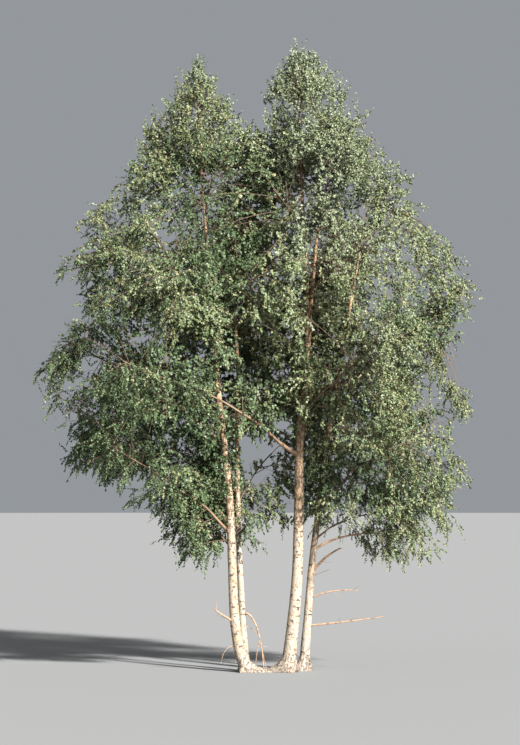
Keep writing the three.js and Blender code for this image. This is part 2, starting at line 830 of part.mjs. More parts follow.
// The blade at the end of the mass's own stem.
function lastBlade(mass, neighbours) {
  const end = mass.stem.getPointAt(1);
  if (!mass.apex) {
    return bestBlade(mass, end, mass.stem.getTangentAt(1), BLADES_ON_TWIG.at(-1), neighbours);
  }
  const direction = mass.apex.clone().sub(end).normalize();
  const root = along(end, direction, -BLADE_SINK);
  return bladeSolid(root, direction, APEX_ROLL, mass.apex.distanceTo(root));
}

function growMass(mass) {
  const twigs = [];
  const blades = [];
  for (let i = 0; i < TWIG_TRIES && twigs.length < TWIGS_PER_MASS; i += 1) {
    const curve = twigCurve(mass, i);
    const twig = curve && twigSolid(curve);
    if (!twig || !isClear(mass, twig, blades)) continue;
    for (const place of BLADES_ON_TWIG) {
      const point = curve.getPointAt(place.share);
      const blade = bestBlade(mass, point, curve.getTangentAt(0), place, [...twigs, ...blades]);
      if (blade) blades.push(blade);
    }
    twigs.push(twig);
  }
  const tipBlade = lastBlade(mass, [...twigs, ...blades]);
  if (tipBlade) blades.push(tipBlade);
  return wasm.Manifold.union([massStem(mass), ...twigs, ...blades]);
}

// A mass's stem that leaves a trunk's side is cut to sit on the bark.
function massStem(mass) {
  const { solid } = limbs.get(mass.name);
  return mass.seat ? largest(solid.subtract(seatOn(mass.seat))) : solid;
}

const masses = planMasses();
addStems();
addLeaders();
addDeadLimbs();
seatOnTips();
masses.forEach(addBoughTo);
masses.forEach(addMassStem);

const tree = new THREE.Group();
for (const name of [...Object.keys(STEMS), ...Object.keys(LEADERS)]) {
  tree.add(meshOf(name, limbs.get(name).solid, MATERIALS.bark));
}
for (const name of Object.keys(DEAD_LIMBS)) {
  tree.add(meshOf(name, limbs.get(name).solid, MATERIALS.deadWood));
}
for (const mass of masses) {
  if (mass.bough) tree.add(meshOf(mass.boughName, limbs.get(mass.boughName).solid, MATERIALS.boughBark));
  tree.add(meshOf(mass.name, largest(growMass(mass)), MATERIALS.foliage));
}

export default tree;
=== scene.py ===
# A silver birch clump in full summer leaf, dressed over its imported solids. Everything is in
# metres. +Z is up, +X runs to the right and +Y away, seen from the side that shows the stems best.
import math

import bmesh
import bpy
import numpy as np
from bpy.props import FloatProperty, FloatVectorProperty, IntProperty, PointerProperty
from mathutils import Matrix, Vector


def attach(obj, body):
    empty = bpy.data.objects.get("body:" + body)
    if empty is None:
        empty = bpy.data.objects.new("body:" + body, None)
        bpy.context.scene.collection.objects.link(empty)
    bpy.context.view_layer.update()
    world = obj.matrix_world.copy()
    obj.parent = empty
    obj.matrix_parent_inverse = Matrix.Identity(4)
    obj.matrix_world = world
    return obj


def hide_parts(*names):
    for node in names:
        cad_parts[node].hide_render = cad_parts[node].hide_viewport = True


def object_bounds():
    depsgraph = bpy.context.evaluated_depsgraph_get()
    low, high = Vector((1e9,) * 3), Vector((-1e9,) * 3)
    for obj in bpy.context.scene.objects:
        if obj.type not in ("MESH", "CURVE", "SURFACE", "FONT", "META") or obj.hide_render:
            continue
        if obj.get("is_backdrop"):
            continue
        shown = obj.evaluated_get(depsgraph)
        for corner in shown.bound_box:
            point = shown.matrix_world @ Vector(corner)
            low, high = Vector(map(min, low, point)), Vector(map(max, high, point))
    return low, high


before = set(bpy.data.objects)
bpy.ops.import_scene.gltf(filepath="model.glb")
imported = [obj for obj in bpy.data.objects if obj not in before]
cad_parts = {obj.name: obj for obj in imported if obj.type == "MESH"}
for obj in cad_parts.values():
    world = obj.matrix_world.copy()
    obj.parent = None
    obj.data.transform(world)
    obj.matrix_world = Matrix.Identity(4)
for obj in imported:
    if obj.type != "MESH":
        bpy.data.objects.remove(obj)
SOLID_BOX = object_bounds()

bl_info = {
    "name": "Birch Clump",
    "version": (1, 0, 0),
    "blender": (4, 5, 0),
    "location": "3D View > Sidebar > Birch",
    "description": "Stems, boughs, twigs and leaves of a silver birch clump",
    "category": "Add Mesh",
}

UP = np.array([0.0, 0.0, 1.0])
SIDEWAYS = np.array([1.0, 0, 0])
GOLDEN_ANGLE = math.radians(137.508)
CLEARANCE = 0.0003

# Stems. A course holds (height, x, y) of the axis, and roots are (bearing, how far out).
STEM_TIP_RADIUS = 0.014
STEM_TAPER = 0.9
FOOT_SWELL = 0.04
FOOT_SWELL_HEIGHT = 0.7
STEMS = {
    "main_stem": {
        "girth": 0.32,
        "top": 14.5,
        "roots": [(180, 0.46), (40, 0.22), (290, 0.23)],
        "course": [
            (0, 0, 0), (0.97, 0.115, -0.01), (2.4, 0.244, -0.03), (3.85, 0.285, -0.05),
            (5.7, 0.315, -0.05), (7.6, 0.467, 0), (9.2, 0.55, 0.05), (10.6, 0.45, 0.06),
            (14.5, 0.3, 0.06),
        ],
    },
    "right_rear_stem": {
        "girth": 0.215,
        "top": 11.7,
        "roots": [(220, 0.22), (30, 0.2), (110, 0.2)],
        "course": [
            (0, 0.42, 0.36), (1.33, 0.52, 0.41), (2.77, 0.64, 0.45), (3.77, 0.764, 0.48),
            (5.4, 0.96, 0.52), (7.7, 1.33, 0.56), (11.7, 2.05, 0.5),
        ],
    },
    "left_front_stem": {
        "girth": 0.255,
        "top": 13.9,
        "roots": [(0, 0.46), (230, 0.21), (110, 0.24)],
        "course": [
            (0, -0.97, -0.1), (0.45, -1.19, -0.12), (1.33, -1.34, -0.15), (3.1, -1.42, -0.18),
            (4.56, -1.485, -0.2), (6.3, -1.67, -0.2), (7.5, -1.8, -0.15), (13.9, -2.29, 0.02),
        ],
    },
    "left_rear_stem": {
        "girth": 0.18,
        "top": 12.2,
        "roots": [(285, 0.2), (60, 0.18), (150, 0.18)],
        "course": [
            (0, -1.06, 0.3), (1.33, -1.15, 0.32), (3.6, -1.25, 0.34), (6.0, -1.29, 0.36),
            (7.5, -1.26, 0.38), (12.2, -1.56, 0.42),
        ],
    },
}
LEADERS = {
    "right_leader": {
        "radii": (0.055, 0.018),
        "course": [
            (8.9, 0.549, 0.045), (9.7, 0.64, -0.04), (10.8, 0.735, -0.12), (11.9, 0.88, -0.22),
            (12.9, 1.12, -0.34),
        ],
    },
}

# Dead limbs by their stem: the height each leaves at, its knee, tip, and first and last radius
DEAD_LIMBS = {
    "right_rear_stem": {
        "long_low_limb": (3.05, (1.18, 0.2, 3.56), (2.83, 0.06, 3.56), (0.03, 0.011)),
        "rising_low_limb": (2.48, (0.96, 0.3, 2.96), (1.37, 0.2, 3.14), (0.034, 0.017)),
        "thin_low_limb": (1.83, (1.05, 0.23, 2.11), (1.8, 0.15, 2.06), (0.02, 0.008)),
        "lowest_limb": (1.15, (1.4, 0.2, 1.24), (2.5, 0.08, 1.4), (0.024, 0.009)),
    },
    "left_front_stem": {
        "left_stub": (1.27, (-1.58, -0.3, 1.4), (-1.85, -0.42, 1.61), (0.025, 0.015)),
    },
    "left_rear_stem": {
        "hanging_limb": (1.48, (-0.72, 0.06, 1.56), (-0.6, -0.15, 0.09), (0.024, 0.009)),
    },
}
# Bare shoots low on the stems, each as its start, knee and end
BARE_SHOOTS = [
    ((-0.7, -0.02, 0.83), (-0.8, -0.05, 0.5), (-0.82, -0.08, 0.03)),
    ((-0.67, -0.055, 0.66), (-0.62, -0.2, 0.45), (-0.52, -0.25, 0.03)),
    ((-1.22, -0.125, 0.63), (-1.62, -0.2, 0.78), (-1.69, -0.22, 0.22)),
    ((-1.13, 0.316, 1.12), (-0.95, 0.25, 1.15), (-0.8, 0.2, 0.98)),
    ((0.61, 0.44, 2.4), (0.85, 0.35, 2.5), (1.1, 0.28, 2.6)),
]

# Crown: two spires that run together. An outline holds (height, left edge, right edge), and a
# ring of masses its height, number, first and last bearing, and share of the radius outwards.
SPIRES = {
    "left": {
        "apex": (-2.3, 0.06, 15.5),
        "middle": 0.1,
        "depth": 1.2,
        "hosts": ["left_front_stem", "left_rear_stem"],
        "outline": [
            (2.35, -2.15, -1.5), (3.0, -2.75, -1.15), (3.65, -3.45, -0.9), (4.4, -4.35, -0.6),
            (5.0, -5.0, -0.3), (5.45, -5.8, -0.15), (6.2, -6.15, 0), (7.0, -6.56, 0.1),
            (7.75, -6.6, 0.2), (8.75, -6.05, 0.2), (10.05, -5.85, 0.1), (11.0, -5.5, 0),
            (11.8, -5.25, -0.2), (12.2, -4.65, -0.3), (13.4, -4.05, -0.7), (14.15, -3.5, -1.1),
            (14.7, -3.1, -1.5), (15.2, -2.75, -1.85), (15.5, -2.38, -2.22),
        ],
        "rings": [
            (14.3, 1, 0, 0, 0), (12.6, 3, 60, 300, 0.5), (10.4, 3, 85, 275, 0.56),
            (8.0, 3, 100, 260, 0.6), (5.9, 3, 80, 238, 0.6), (4.1, 1, 180, 180, 0.05),
        ],
    },
    "right": {
        "apex": (0.28, 0.06, 16.0),
        "middle": 0.15,
        "depth": 1.2,
        "hosts": ["main_stem", "right_rear_stem", "right_leader"],
        "outline": [
            (2.9, 2.3, 3.5), (3.4, 1.3, 4.2), (4.4, 0.2, 4.56), (5.45, -0.5, 4.59),
            (6.2, -0.8, 4.44), (7.0, -0.9, 4.64), (8.3, -1.0, 4.72), (9.05, -1.0, 4.85),
            (9.8, -1.0, 5.0), (11.1, -1.0, 4.35), (11.85, -0.95, 3.56), (12.6, -0.85, 3.15),
            (13.4, -0.75, 2.55), (13.9, -0.7, 2.26), (14.7, -0.6, 2.0), (15.4, -0.43, 1.23),
            (16.0, 0.2, 0.36),
        ],
        "rings": [
            (14.7, 1, 0, 0, 0), (13.0, 3, -80, 160, 0.5), (10.9, 3, -95, 95, 0.56),
            (8.5, 3, -85, 90, 0.6), (6.3, 2, -55, 60, 0.6), (4.4, 1, 0, 0, 0.2),
        ],
    },
    "middle": {
        "apex": None,
        "middle": 0.15,
        "depth": 2,
        "hosts": ["main_stem", "left_rear_stem", "left_front_stem"],
        "outline": [
            (3.6, -1.5, 0.5), (4.6, -1.9, 1.0), (8.0, -2.0, 1.1), (12.0, -1.9, 0.9),
            (13.4, -1.3, 0.1),
        ],
        "rings": [
            (11.9, 2, 100, 280, 0.5), (9.7, 2, 75, 255, 0.5), (7.6, 1, 90, 90, 0.5),
            (5.5, 1, 90, 90, 0.6),
        ],
    },
}
STAGGER = 0.3
MASS_SPREAD = 1.4
MASS_HEIGHT_SHARE = 0.9
SPACE_MARGIN = 0.003

# The stems' bark: its rings, root ridges and the heights over which its relief fades
STEM_RINGS = 45
STEM_RING_POWER = 1.45  # the rings stand closer together at the foot
STEM_SIDES = 20
LEADER_RINGS = 24
LEADER_SIDES = 12
BARK_THICKNESS = 1.012
ROOT_PULL = 0.44
GROUND = 1e-4
SAME_PLACE = 1e-5
FOOT_FADE = 0.8
FOOT_START = 0.05
ABOVE_START = 0.3

# Relief of the bark and wood: (scale, depth) of its noise, and how far it stands out
RELIEFS = {
    "coarse bark": (0.11, 3),
    "fine bark": (0.35, 2),
    "bough bark": (0.16, 2),
    "dead wood": (0.08, 3),
}
BOUGH_RELIEF = 0.012
DEAD_RELIEF = 0.006

# Limbs drawn as curves: the steps between their points, and how much they swell at the root
LIMB_SECTION = 3
BOUGH_RINGS = 8
BOUGH_COLLAR = 1.6
BOUGH_CUTS = 5
DEAD_RINGS = 24
DEAD_COLLAR = 1.2
DEAD_TWIG_SHARES = (0.4, 0.95, 0.13)
DEAD_TWIG_LENGTHS = (0.12, 0.34)
DEAD_TWIG_RADII = (0.006, 0.002)
DEAD_TWIG_SWAY = 0.7
DEAD_TWIG_DROOP = 0.15
DEAD_TWIG_BEND = 0.03
DEAD_TWIG_RINGS = 6
DEAD_TWIG_LOWEST = 0.05
SHOOT_RADII = (0.011, 0.004)
SHOOT_RINGS = 10

# Boughs and the stems of the masses
BOUGH_FROM_REACH = 1.85
BOUGH_RISE = 0.72
BOUGH_ARCH = 0.12
BOUGH_KNEE_SHARE = 0.45
BOUGH_ENTRY = 0.55
BOUGH_BASE_RADIUS = 0.024
BOUGH_RADIUS_PER_REACH = 0.008
BOUGH_TIP_RADIUS = 0.021
BOUGH_BASE_LIMIT = 0.75
BOUGH_TIP_LIMIT = 0.6
BOUGH_LOWEST_START = 2.3
BOUGHS_ACROSS = {"left_foliage_10": ("main_stem", 5.45)}
LIMB_SPACING = 0.045
LIMB_STEP = 0.06
LEADER_POINTS = 80
ARC_POINTS = 201
HEADING_STEP = 0.004
START_SHIFTS = [0, 0.26, -0.26, 0.52, -0.52, 0.78, -0.78]
SIDE_SHIFTS = [0, 0.2, -0.2, 0.42, -0.42]
MASS_STEM_RADII = (0.02, 0.017)
MASS_STEM_REACH = 0.5
MASS_STEM_KNEE_SHARE = 0.4
APEX_STEM_SHARE = 0.5
MASS_STEM_TURNS = [0, 0.3, -0.3, 0.6, -0.6, 0.9, -0.9]
ROOM_STEP = 0.04
ROOM_LIMIT = 4.0

# What the foliage is drawn with: (rings, first and last radius, sides) of the tubes
MASS_STEM_TUBES = (12, MASS_STEM_RADII, 8)
BRANCH_TUBES = (9, (0.011, 0.004), 5)
TWIG_TUBES = (3, (0.0045, 0.0022), 3)
SPRAY_RADIUS = 0.0026

# Leaf outline, folded along its middle: (across, along, lift) of its base, side, tip and side.
LEAF_OUTLINE = np.array([(0, 0, 0), (0.5, 0.38, 0.1), (0, 1, 0), (-0.5, 0.38, 0.1)])
LEAF_HALVES = np.array([(0, 1, 2), (0, 2, 3)])
LEAF_LENGTHS = (0.72, 1.15)
LEAF_TAPER = (1.08, 0.2)  # their size at a spray's root, and how much of it is lost by its tip
LEAF_STARTS = (0.1, 0.02)  # where on a spray the first leaf sits, and how far each may be off
LEAF_HEADING = (0.5, 0.3, 0.55, 0.5)  # how far leaves point aside, ahead, down and at random
LEAF_FACING = (0.5, 0.45, 0.75)  # how far they face outwards, up and at random
LEAF_SURFACE = (0.5, 0.35)
CROWN_MIDDLE = (-0.9, 0.12, 8.5)
CROWN_HALF_SIZES = (5.5, 3.8, 7.5)
INNER_LEAVES = ((0.15, 0.5), (1, 1.3))  # how much larger the leaves deep in the crown are
# The tints run from darkest to lightest and go out by tone, so besides random variety the lighter
# ones carry painted light and the darker ones painted shade
LEAF_TINTS = ("leaf_dark", "leaf_deep", "leaf_mid", "leaf_yellow", "leaf_fresh", "leaf_grey")

# Stage. Each light has its name, bearing, height, strength and spread, with angles in degrees.
FLOOR_DISC = {"vertices": 96, "radius": 400, "fill_type": "NGON"}
FLOOR_COLOUR = (0.22, 0.22, 0.215)
FLOOR_SURFACE = (0.9, 0.1)
SKY_COLOUR = (0.85, 0.9, 0.96)
SKY_STRENGTH = 0.35
LIGHTS = (("key", 37, 30, 13.6, 4), ("fill", -60, 35, 0.3, 60))
LENS = 113.4
SENSOR_WIDTH = 36
FARTHEST = 1000
CAMERA_PLACE = (-0.7, -60, 4.65)
CAMERA_TILT = 2.84


def colour_property(name, description, default):
    return FloatVectorProperty(
        name=name, description=description, default=default, size=3, min=0, max=1, subtype="COLOR"
    )


def length_property(name, description, default, least=0.0):
    kinds = {"subtype": "DISTANCE", "unit": "LENGTH"}
    return FloatProperty(name=name, description=description, default=default, min=least, **kinds)


def count_property(name, description, default):
    return IntProperty(name=name, description=description, default=default, min=1)


class BirchSizes(bpy.types.PropertyGroup):
    """Sizes of the bark, twigs and leaves"""

    bark_relief: length_property("Bark relief", "How far the stems' bark stands out", 0.012)
    foot_relief: length_property("Foot relief", "How far the bark stands out at the foot", 0.045)
    branches: count_property("Branches per mass", "How many branches each mass's stem has", 17)
    twig_gap: length_property("Gap between side twigs", "The way from one to the next", 0.14, 0.05)
    twig_length: length_property("Side twig length", "The longest side twig", 0.62, 0.1)
    spray_length: length_property("Spray length", "Usual length of a hanging spray", 0.38, 0.05)
    leaves_on_spray: count_property("Leaves on a spray", "How many leaves a spray carries", 17)
    leaf_length: length_property("Leaf length", "Usual length of a leaf", 0.061, 0.01)
    leaf_width: FloatProperty(
        name="Leaf width",
        description="Width of a leaf as a share of its length",
        default=0.86,
        min=0.1,
        max=1.5,
        subtype="FACTOR",
    )
    seed: IntProperty(
        name="Seed", description="Another number gives other twigs in the same crown", default=7
    )


class BirchColours(bpy.types.PropertyGroup):
    """Colours of the bark, wood and leaves"""

    bark: colour_property("Bark", "Clean bark of the stems", (0.35, 0.305, 0.24))
    bark_warm: colour_property("Warm bark", "Tinged patches of the bark", (0.4, 0.262, 0.15))
    bark_foot: colour_property("Foot bark", "Rough bark at the stems' feet", (0.33, 0.27, 0.21))
    # Brown blotches: the bark's own mottling, and painted dappled shade where they grow more from
    # 2.2 m up
    bark_blotch_and_shade: colour_property("Mottled bark", "Brown blotches on bark", (0.13, 0.078, 0.045))
    bark_marks: colour_property("Bark marks", "Cracks and scars in the bark", (0.07, 0.05, 0.04))
    bark_upper: colour_property("Upper bark", "Young bark high on the stems", (0.42, 0.26, 0.14))
    bough: colour_property("Bough bark", "Smooth bark of the boughs", (0.25, 0.155, 0.095))
    dead_wood: colour_property("Dead wood", "Weathered dead limbs", (0.33, 0.205, 0.125))
    branch: colour_property("Branches", "Bark of the branches", (0.15, 0.095, 0.062))
    twig: colour_property("Twigs", "Bark of the finest twigs", (0.085, 0.06, 0.035))
    # Leaf colours: which leaves get which is dealt by tone, partly at random, partly as painted
    # light (lighter) and painted shade (darker)
    leaf_grey: colour_property("Greyish leaves", "Leaves that catch light", (0.18, 0.206, 0.12))
    leaf_mid: colour_property("Middling leaves", "The commonest leaves", (0.12, 0.155, 0.075))
    leaf_deep: colour_property("Deep green leaves", "Older leaves", (0.088, 0.127, 0.055))
    leaf_fresh: colour_property("Fresh leaves", "Young leaves at the tips", (0.157, 0.188, 0.085))
    leaf_dark: colour_property("Dark leaves", "Leaves deep in the crown", (0.052, 0.078, 0.031))
    leaf_yellow: colour_property("Yellowish leaves", "First leaves to turn", (0.184, 0.188, 0.088))


def unit(vectors):
    return vectors / np.linalg.norm(vectors, axis=-1, keepdims=True)


def turned(vectors, axis, angle):
    """Vectors turned by an angle about a unit axis; arrays of them turn row by row."""
    cosine = np.cos(angle)[..., None]
    sine = np.sin(angle)[..., None]
    share = np.sum(axis * vectors, axis=-1, keepdims=True)
    return vectors * cosine + np.cross(axis, vectors) * sine + axis * share * (1 - cosine)


def smooth_row(rows, height):
    """The values of rows (height, ...values) at one height, on a smooth curve through the rows."""
    i = 0
    while i < len(rows) - 2 and height > rows[i + 1][0]:
        i += 1
    places = (min(max(k, 0), len(rows) - 1) for k in range(i - 1, i + 3))
    before, low, high, after = (rows[k] for k in places)
    span = high[0] - low[0]
    t = min(max((height - low[0]) / span, 0), 1)
    values = []
    for k in range(1, len(low)):
        change = high[k] - low[k]
        leaving = (high[k] - before[k]) / (high[0] - before[0]) * span - change
        arriving = (after[k] - low[k]) / (after[0] - low[0]) * span - change
        values.append(low[k] + change * t + t * (1 - t) * ((1 - t) * leaving - t * arriving))
    return values


def axis_point(course, height):
    x, y = smooth_row(course, height)
    return np.array([x, y, height])


def course_points(course, count):
    return [axis_point(course, z) for z in np.linspace(course[0][0], course[-1][0], count)]


def stem_radius(stem, height):
    left = max(0.0, 1 - height / stem["top"])
    taper = (stem["girth"] / 2 - STEM_TIP_RADIUS) * left**STEM_TAPER
    return STEM_TIP_RADIUS + taper + FOOT_SWELL * math.exp(-height / FOOT_SWELL_HEIGHT)


def between(where, places, points):
    """Points of a line that has the given points at the given places."""
    return np.stack([np.interp(where, places, row) for row in points.T], axis=-1)


def bent(roots, knees, tips, shares):
    """Points at shares along many curves at once: (curves, shares, 3)."""
    t = shares if shares.ndim == 2 else np.broadcast_to(shares, (len(roots), len(shares)))
    t = t[..., None]
    return (1 - t) ** 2 * roots[:, None] + 2 * t * (1 - t) * knees[:, None] + t**2 * tips[:, None]


def rooms(inside, points, headings, limit):
    """The free way from each point along its heading, as far as the test holds."""
    steps = ROOM_STEP * np.arange(1, int(limit / ROOM_STEP) + 1)
    line = points[:, None] + headings[:, None] * steps[None, :, None]
    free = inside(line.reshape(-1, 3)).reshape(len(points), -1)
    return ROOM_STEP * np.where(free.all(1), len(steps), np.argmin(free, axis=1))


class Way:
    """A way through space that gives its point and heading at a share of its length."""

    def __init__(self, points, ends=None):
        self.points = np.asarray(points, float)
        steps = np.linalg.norm(np.diff(self.points, axis=0), axis=1)
        self.lengths = np.append(0, np.cumsum(steps))
        self.ends = ends

    def length(self):
        return self.lengths[-1]

    def at(self, share):
        return between(np.asarray(share) * self.lengths[-1], self.lengths, self.points)

    def heading(self, share):
        share = np.asarray(share, float)
        ahead = self.at(np.minimum(share + HEADING_STEP, 1))
        return unit(ahead - self.at(np.maximum(share - HEADING_STEP, 0)))


def arc(start, knee, end):
    ends = (start, knee, end)
    points = bent(*(corner[None] for corner in ends), np.linspace(0, 1, ARC_POINTS))
    return Way(points[0], ends)


class Limb:
    """A limb as closely spaced balls, which is how limbs are kept clear of each other."""

    def __init__(self, points, radii, way=None):
        self.points = np.asarray(points)
        self.radii = np.asarray(radii)
        self.way = way

    @classmethod
    def along(cls, way, radii):
        shares = np.linspace(0, 1, max(2, math.ceil(way.length() / LIMB_STEP)) + 1)
        return cls(way.at(shares), radii[0] + (radii[1] - radii[0]) * shares, way)

    def too_close(self, other):
        apart = np.linalg.norm(self.points[:, None] - other.points[None], axis=-1)
        return np.any(apart < self.radii[:, None] + other.radii[None] + LIMB_SPACING)

    def near_height(self, height):
        return int(np.argmin(np.abs(self.points[:, 2] - height)))


def width_at(spire, heights):
    """The middle and half the width of a spire at each height."""
    rows = np.array(spire["outline"]).T
    left, right = (np.interp(heights, rows[0], rows[k]) for k in (1, 2))
    return (left + right) / 2, (right - left) / 2


def in_spires(points, half_sizes, above=0.0):
    """Whether points lie in a spire. Each is an ellipse at every height, and its half sizes come
    from half the outline's width and the spire."""
    inside = np.zeros(len(points), bool)
    for spire in SPIRES.values():
        low, high = spire["outline"][0][0], spire["outline"][-1][0] + above
        middle, half = width_at(spire, points[:, 2])
        across, deep = half_sizes(half, spire)
        x = (points[:, 0] - middle) / across
        y = (points[:, 1] - spire["middle"]) / deep
        inside |= (points[:, 2] >= low) & (points[:, 2] <= high) & (x * x + y * y <= 1)
    return inside


def in_crown(points):
    return in_spires(points, lambda half, spire: (half, half * spire["depth"]))


class Mass:
    """One mass of foliage: the space it keeps to and the limb it grows from."""

    def __init__(self, side, number, ring, bearing, index, next_height, first):
        spire = SPIRES[side]
        height, count, start, last, share = ring
        middle, half_width = width_at(spire, height)
        gap = math.radians((last - start) / (count - 1)) if count > 1 else 0
        out = half_width * np.array([math.cos(bearing), spire["depth"] * math.sin(bearing)])
        reach = np.linalg.norm(out)
        half = max((1 - share) * reach, min(share * reach * gap / 2, half_width))
        stagger = STAGGER * (1 if index % 2 else -1) if count > 1 else 0
        x, y = middle + share * out[0], spire["middle"] + share * out[1]
        self.side = side
        self.number = number
        self.spire = spire
        self.name = f"{side}_foliage_{number}"
        self.apex = np.array(spire["apex"]) if first and spire["apex"] else None
        self.centre = np.array([x, y, height + stagger])
        self.weight = half**2
        self.radius = half * MASS_SPREAD
        self.half_height = abs(height - next_height) * MASS_HEIGHT_SHARE
        self.tip_of = self.bough = self.stem = None

    def holds(self, points, share=1):
        """Whether points lie in the mass's ellipsoid, or in one that is larger by a share."""
        away = points - self.centre
        flat = np.hypot(away[:, 0], away[:, 1]) / (self.radius * share)
        return flat**2 + (away[:, 2] / (self.half_height * share)) ** 2 <= 1


class Crown:
    """All limbs and masses, grown by the same rule as the solids."""

    def __init__(self):
        self.limbs = {}
        self.masses = []
        self.plan_masses()
        self.centres = np.array([mass.centre for mass in self.masses])
        self.weights = np.array([mass.weight for mass in self.masses])
        for name, stem in STEMS.items():
            heights = np.linspace(0, stem["top"], math.ceil(stem["top"] / LIMB_STEP) + 1)
            points = [axis_point(stem["course"], height) for height in heights]
            self.limbs[name] = Limb(points, [stem_radius(stem, height) for height in heights])
        for name, leader in LEADERS.items():
            points = course_points(leader["course"], LEADER_POINTS)
            self.limbs[name] = Limb.along(Way(points), leader["radii"])
        for host, limbs in DEAD_LIMBS.items():
            for name, (height, knee, tip, radii) in limbs.items():
                start = axis_point(STEMS[host]["course"], height)
                self.limbs[name] = Limb.along(arc(start, np.array(knee), np.array(tip)), radii)
        self.seat_on_tips()
        for mass in self.masses:
            self.add_bough_to(mass)
        for mass in self.masses:
            self.add_mass_stem(mass)

    def plan_masses(self):
        for side, spire in SPIRES.items():
            number = 0
            rings = spire["rings"]
            for r, ring in enumerate(rings):
                follower = rings[r + 1] if r + 1 < len(rings) else rings[r - 1]
                for i in range(ring[1]):
                    number += 1
                    step = (ring[3] - ring[2]) / (ring[1] - 1) if ring[1] > 1 else 0
                    bearing = math.radians(ring[2] + step * i)
                    mass = Mass(side, number, ring, bearing, i, follower[0], r == 0)
                    self.masses.append(mass)

    def in_space(self, mass, points):
        """A mass keeps to an ellipsoid inside the crown, on its own side of the planes between."""
        others = np.array([other is not mass for other in self.masses])
        across = self.centres[others] - mass.centre
        span = np.linalg.norm(across, axis=1)
        plane = (span**2 + mass.weight - self.weights[others]) / (2 * span)
        beyond = plane - (points - mass.centre) @ across.T / span > SPACE_MARGIN
        return mass.holds(points) & in_crown(points) & np.all(beyond, axis=1)

    def room(self, mass, point, heading):
        """The free way from a point to the edge of the mass's space."""

        def inside(points):
            return self.in_space(mass, points)

        return rooms(inside, point[None], heading[None], ROOM_LIMIT)[0]

    def is_clear(self, limb, allowed):
        others = (other for name, other in self.limbs.items() if name != allowed)
        return not any(limb.too_close(other) for other in others)

    def seat_on_tips(self):
        for name in [*STEMS, *LEADERS]:
            tip = self.limbs[name].points[-1]
            free = [m for m in self.masses if not m.tip_of and name in m.spire["hosts"]]
            min(free, key=lambda mass: np.linalg.norm(mass.centre - tip)).tip_of = name

    def host_of(self, mass):
        """The limb that a mass grows from, how far off it is, and the height to start at."""
        if mass.name in BOUGHS_ACROSS:
            host, start = BOUGHS_ACROSS[mass.name]
            return host, math.inf, start
        found = []
        for name in mass.spire["hosts"]:
            points = self.limbs[name].points
            flat = np.hypot(*(mass.centre[:2] - points[:, :2]).T)
            away = flat + np.abs(points[:, 2] - mass.centre[2] + BOUGH_RISE * flat)
            k = int(np.argmin(away))
            found.append((away[k], name, flat[k], mass.centre[2] - BOUGH_RISE * flat[k]))
        return min(found)[1:]

    def clear_way(self, host, begin, mass, end_of, radii_of):
        limb = self.limbs[host]
        for side in SIDE_SHIFTS:
            for shift in START_SHIFTS:
                k = limb.near_height(max(BOUGH_LOWEST_START, begin + shift))
                start = limb.points[k]
                end = end_of(start)
                way = end - start
                length = np.linalg.norm(way)
                aside = unit(np.array([-way[1], way[0], 0.0]))
                knee = start + way * BOUGH_KNEE_SHARE + UP * length * BOUGH_ARCH + aside * side
                curve = arc(start, knee, end)
                grown = Limb.along(curve, radii_of(curve, limb.radii[k]))
                if self.is_clear(grown, host):
                    return grown
        raise RuntimeError(f"no clear way to {mass.name}")

    def add_bough_to(self, mass):
        host, flat, begin = self.host_of(mass)
        if mass.tip_of or flat < BOUGH_FROM_REACH:
            return

        def end_of(start):
            return mass.centre - unit(mass.centre - start) * BOUGH_ENTRY * math.sqrt(mass.weight)

        def radii_of(curve, host_radius):
            wanted = BOUGH_BASE_RADIUS + BOUGH_RADIUS_PER_REACH * curve.length()
            base = min(wanted, BOUGH_BASE_LIMIT * host_radius)
            return base, min(BOUGH_TIP_RADIUS, BOUGH_TIP_LIMIT * host_radius)

        mass.bough = f"{mass.side}_bough_{mass.number}"
        self.limbs[mass.bough] = self.clear_way(host, begin, mass, end_of, radii_of)

    def far_end(self, mass, start, heading):
        if mass.apex is not None:
            return start + (mass.apex - start) * APEX_STEM_SHARE
        inside = (start + mass.centre) / 2
        return inside + heading * self.room(mass, inside, heading) * MASS_STEM_REACH

    def stem_from_side(self, mass):
        host, _, begin = self.host_of(mass)

        def end_of(start):
            return self.far_end(mass, start, unit(mass.centre - start))

        return self.clear_way(host, begin, mass, end_of, lambda curve, radius: MASS_STEM_RADII)

    def stem_from_tip(self, mass, host):
        limb = self.limbs[host]
        heading = limb.way.heading(1) if limb.way else UP
        start = limb.points[-1] + heading * CLEARANCE
        for turn in MASS_STEM_TURNS:
            end = self.far_end(mass, start, turned(heading, UP, np.array(turn)))
            knee = start + heading * np.linalg.norm(end - start) * MASS_STEM_KNEE_SHARE
            grown = Limb.along(arc(start, knee, end), MASS_STEM_RADII)
            if self.is_clear(grown, host):
                return grown
        raise RuntimeError(f"no clear stem for {mass.name}")

    def add_mass_stem(self, mass):
        host = mass.bough or mass.tip_of
        grown = self.stem_from_tip(mass, host) if host else self.stem_from_side(mass)
        mass.stem = grown.way
        self.limbs[mass.name] = grown


CROWN = Crown()


# Growth beyond the solids: branches, side twigs and leafy sprays.
BRANCH_SHARES = (0.97, 0.08)
BRANCH_SPREADS = (34, 84)
BRANCH_REACH = 0.97
BRANCH_LENGTHS = (0.3, 2.4)
BRANCH_DROOPS = ((3.5, 14), (0.17, 0.03))  # at heights near the crown's foot and its top
BRANCH_DROOP_POWER = 1.4
BRANCH_LIFT = 0.1
BRANCH_CUTS = (6, 0.85)  # how often, and to what share, a branch that leaves the crown is cut
LUSHNESS = 1.35  # how many more branches the tops, and the masses below LOW_HEIGHT, carry
LOW_HEIGHT = 7
MIDDLE_LUSHNESS = 1.6
BEYOND = 1.25  # branches reach this far into the space between the masses
